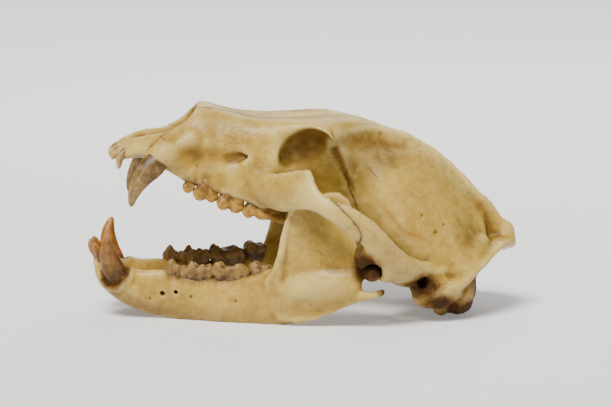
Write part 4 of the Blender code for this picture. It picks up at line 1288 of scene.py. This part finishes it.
def enamel_finish(name, light, body, deep, streaks, gloss, neck=(0.50, 0.78), lines=()):
    """Worn enamel: lighter at the tip and on its edges, stained at the neck and in its grooves."""
    paint = Paint(name)
    along, hollow, worn = paint.mark("along"), paint.mark("hollow"), paint.mark("worn")
    cloud = paint.noise(110, 3, 0.6, distortion=0.4)
    run = paint.joined(paint.mark("round_a"), paint.mark("round_b"), along * 0.12)
    streak = paint.noise(16, 2, 0.5, place=run)
    crack = paint.cracks(6, 0.02, place=run) * paint.noise(60, 2, 0.5).between(0.46, 0.58)
    crack *= along.between(0.45, 0.6)
    clean = (along + 0.25 * cloud).between(*neck)
    cut = 0.0
    if lines:
        place = paint.fold(0.5)
        cut = sum(paint.seam(place, *line) for line in lines)
    colour = paint.layered(body, (
        (cloud.between(0.38, 0.66), light),
        (along.between(0.55, 0.98) * 0.45, light),
        (streak.between(0.48, 0.72) * streaks, deep),
        (crack * streaks, [0.5 * v for v in deep]),
        ((1 - clean) * 0.75, deep),
        ((hollow * (1.5 * cloud - 0.1)).clamped() * 0.80, [0.75 * v for v in deep]),
        (worn * 0.40, light),
        (cut * 0.75, (44, 28, 14)),
    ))
    rough = gloss + 0.20 * cloud + 0.15 * hollow
    bump = 0.5 * streak - 1.6 * crack + 0.4 * paint.noise(1300, 2, 0.6) - 1.2 * cut
    return paint.finish(colour, rough, bump, 0.00012, 0.3)


def dress(piece, finish, node):
    piece.data.materials.clear()
    piece.data.materials.append(finish)
    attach(piece, "root")
    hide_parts(node)


# Cracks down the upper canine, and then what is too fine for the cranium's mesh: path, width, and whether
# the line lies on the top.
CANINE_CRACKS = [
    ([(-136, -44, 139), (-139.5, -44, 132.4), (-143, -44, 127), (-147, -44, 119.5), (-148.3, -44, 111),
        (-148.9, -44, 103)], 0.40),
    ([(-132, -44, 136), (-137, -44, 128), (-142, -44, 121), (-145.5, -44, 113)], 0.28),
]
SEAM_LINES = [
    ([(15, -108, 118), (21, -109, 113.5), (28, -111, 107), (34.4, -112, 100.6), (40.6, -112, 92.6),
        (43.6, -111, 85.3), (42.5, -110, 79)], 1.0, False),
    ([(35, -39, 126), (38, -40, 119), (39, -41, 112), (43, -43, 104), (45, -45, 97),
        (50, -47, 85)], 1.8, False),
    ([(-90, -14, 183), (-72, -13, 180.5), (-50, -11, 174), (-28, -8, 172), (-12, 0, 171)], 0.6, True),
]
SCRATCH_LINES = [
    ([(72, -30, 152), (74, -35, 143), (75, -38, 137)], 0.45),
    ([(64, -34, 146), (70, -39, 138)], 0.4),
    ([(55, -40, 132), (62, -43, 124)], 0.4),
]
# Light, body and deep colours, how streaked and how rough; then where the neck's stain ends, and cracks.
ENAMELS = {
    "upper_teeth": ((186, 142, 58), (136, 94, 30), (80, 48, 12), 0.30, 0.30),
    "lower_teeth": ((152, 120, 66), (104, 74, 34), (46, 28, 8), 0.40, 0.32),
    "upper_front": ((200, 172, 114), (164, 130, 80), (112, 74, 38), 0.30, 0.28),
    "lower_front": ((176, 122, 56), (132, 80, 28), (72, 38, 10), 0.40, 0.28),
    "upper_canine": ((160, 134, 84), (112, 84, 44), (60, 34, 8), 0.34, 0.26, (0.64, 0.90), CANINE_CRACKS),
    "lower_canine": ((152, 106, 50), (100, 62, 24), (50, 24, 4), 0.40, 0.28, (0.64, 0.90)),
    "lower_canine_amber": ((172, 116, 52), (126, 72, 24), (68, 34, 10), 0.45, 0.28),
}

enamels = {name: enamel_finish(name + "_enamel", *looks) for name, looks in ENAMELS.items()}
dress(cranium().done(), bone_finish("old_bone", SEAM_LINES, SCRATCH_LINES), "cranium")
dress(lower_jaw().done(), bone_finish("old_jaw_bone", [], []), "lower_jaw")
for piece, node, finish in teeth():
    dress(piece, enamels[finish], node)

# The studio: a pale floor, the photo's view, a broad sun and two soft lamps. In metres.
FLOOR_SIDE = 60
AZIMUTH, HEIGHT = math.radians(-3.6), math.radians(9.5)
AIM = Vector((0.0036, 0.0, 0.0945))
DISTANCE = 3.3
FRAME_WIDTH = 0.532
SENSOR_WIDTH = 36
LAMP_AIM = Vector((0, 0, 0.08))
SUN_FROM = Vector((-0.5, -0.95, 1.6))
SUN_POWER, SUN_SPREAD, SUN_COLOUR = 5.0, math.radians(24), (1.0, 0.98, 0.93)
WORLD_POWER = 0.24

bpy.ops.mesh.primitive_plane_add(size=1)
floor = bpy.context.object
floor.name = "floor"
floor.scale = (FLOOR_SIDE, FLOOR_SIDE, 1)
bpy.ops.object.transform_apply(scale=True)
pale = Paint("pale_floor")
for socket, value in (
    ("Base Color", (0.86, 0.86, 0.86, 1)), ("Emission Color", (1, 1, 1, 1)), ("Emission Strength", 0.22),
    ("Roughness", 0.9),
):
    pale.shader.inputs[socket].default_value = value
floor.data.materials.append(pale.material)

toward = Vector((
    math.sin(AZIMUTH) * math.cos(HEIGHT), -math.cos(AZIMUTH) * math.cos(HEIGHT), math.sin(HEIGHT),
))
camera_data = bpy.data.cameras.new("camera")
camera_data.sensor_width = SENSOR_WIDTH
camera_data.lens = SENSOR_WIDTH * DISTANCE / FRAME_WIDTH
camera = bpy.data.objects.new("camera", camera_data)
camera.location = AIM + toward * DISTANCE
camera.rotation_euler = (-toward).to_track_quat("-Z", "Y").to_euler()
bpy.context.scene.collection.objects.link(camera)
bpy.context.scene.camera = camera


def lamp(name, kind, place, turn):
    data = bpy.data.lights.new(name, kind)
    made = bpy.data.objects.new(name, data)
    made.location = place
    made.rotation_euler = turn.to_euler()
    bpy.context.scene.collection.objects.link(made)
    return data


sun = lamp("key", "SUN", (0, 0, 0), SUN_FROM.to_track_quat("Z", "Y"))
sun.energy, sun.angle, sun.color = SUN_POWER, SUN_SPREAD, SUN_COLOUR
for name, place, size, power in (("fill", (1.4, -1.3, 0.7), 1.4, 2), ("back", (0.3, 1.4, 1.3), 1.2, 12)):
    disk = lamp(name, "AREA", place, (LAMP_AIM - Vector(place)).to_track_quat("-Z", "Y"))
    disk.shape, disk.size, disk.energy = "DISK", size, power
world = bpy.data.worlds.new("world")
bpy.context.scene.world = world
world.use_nodes = True
background = world.node_tree.nodes["Background"].inputs
background["Color"].default_value = (1, 1, 1, 1)
background["Strength"].default_value = WORLD_POWER
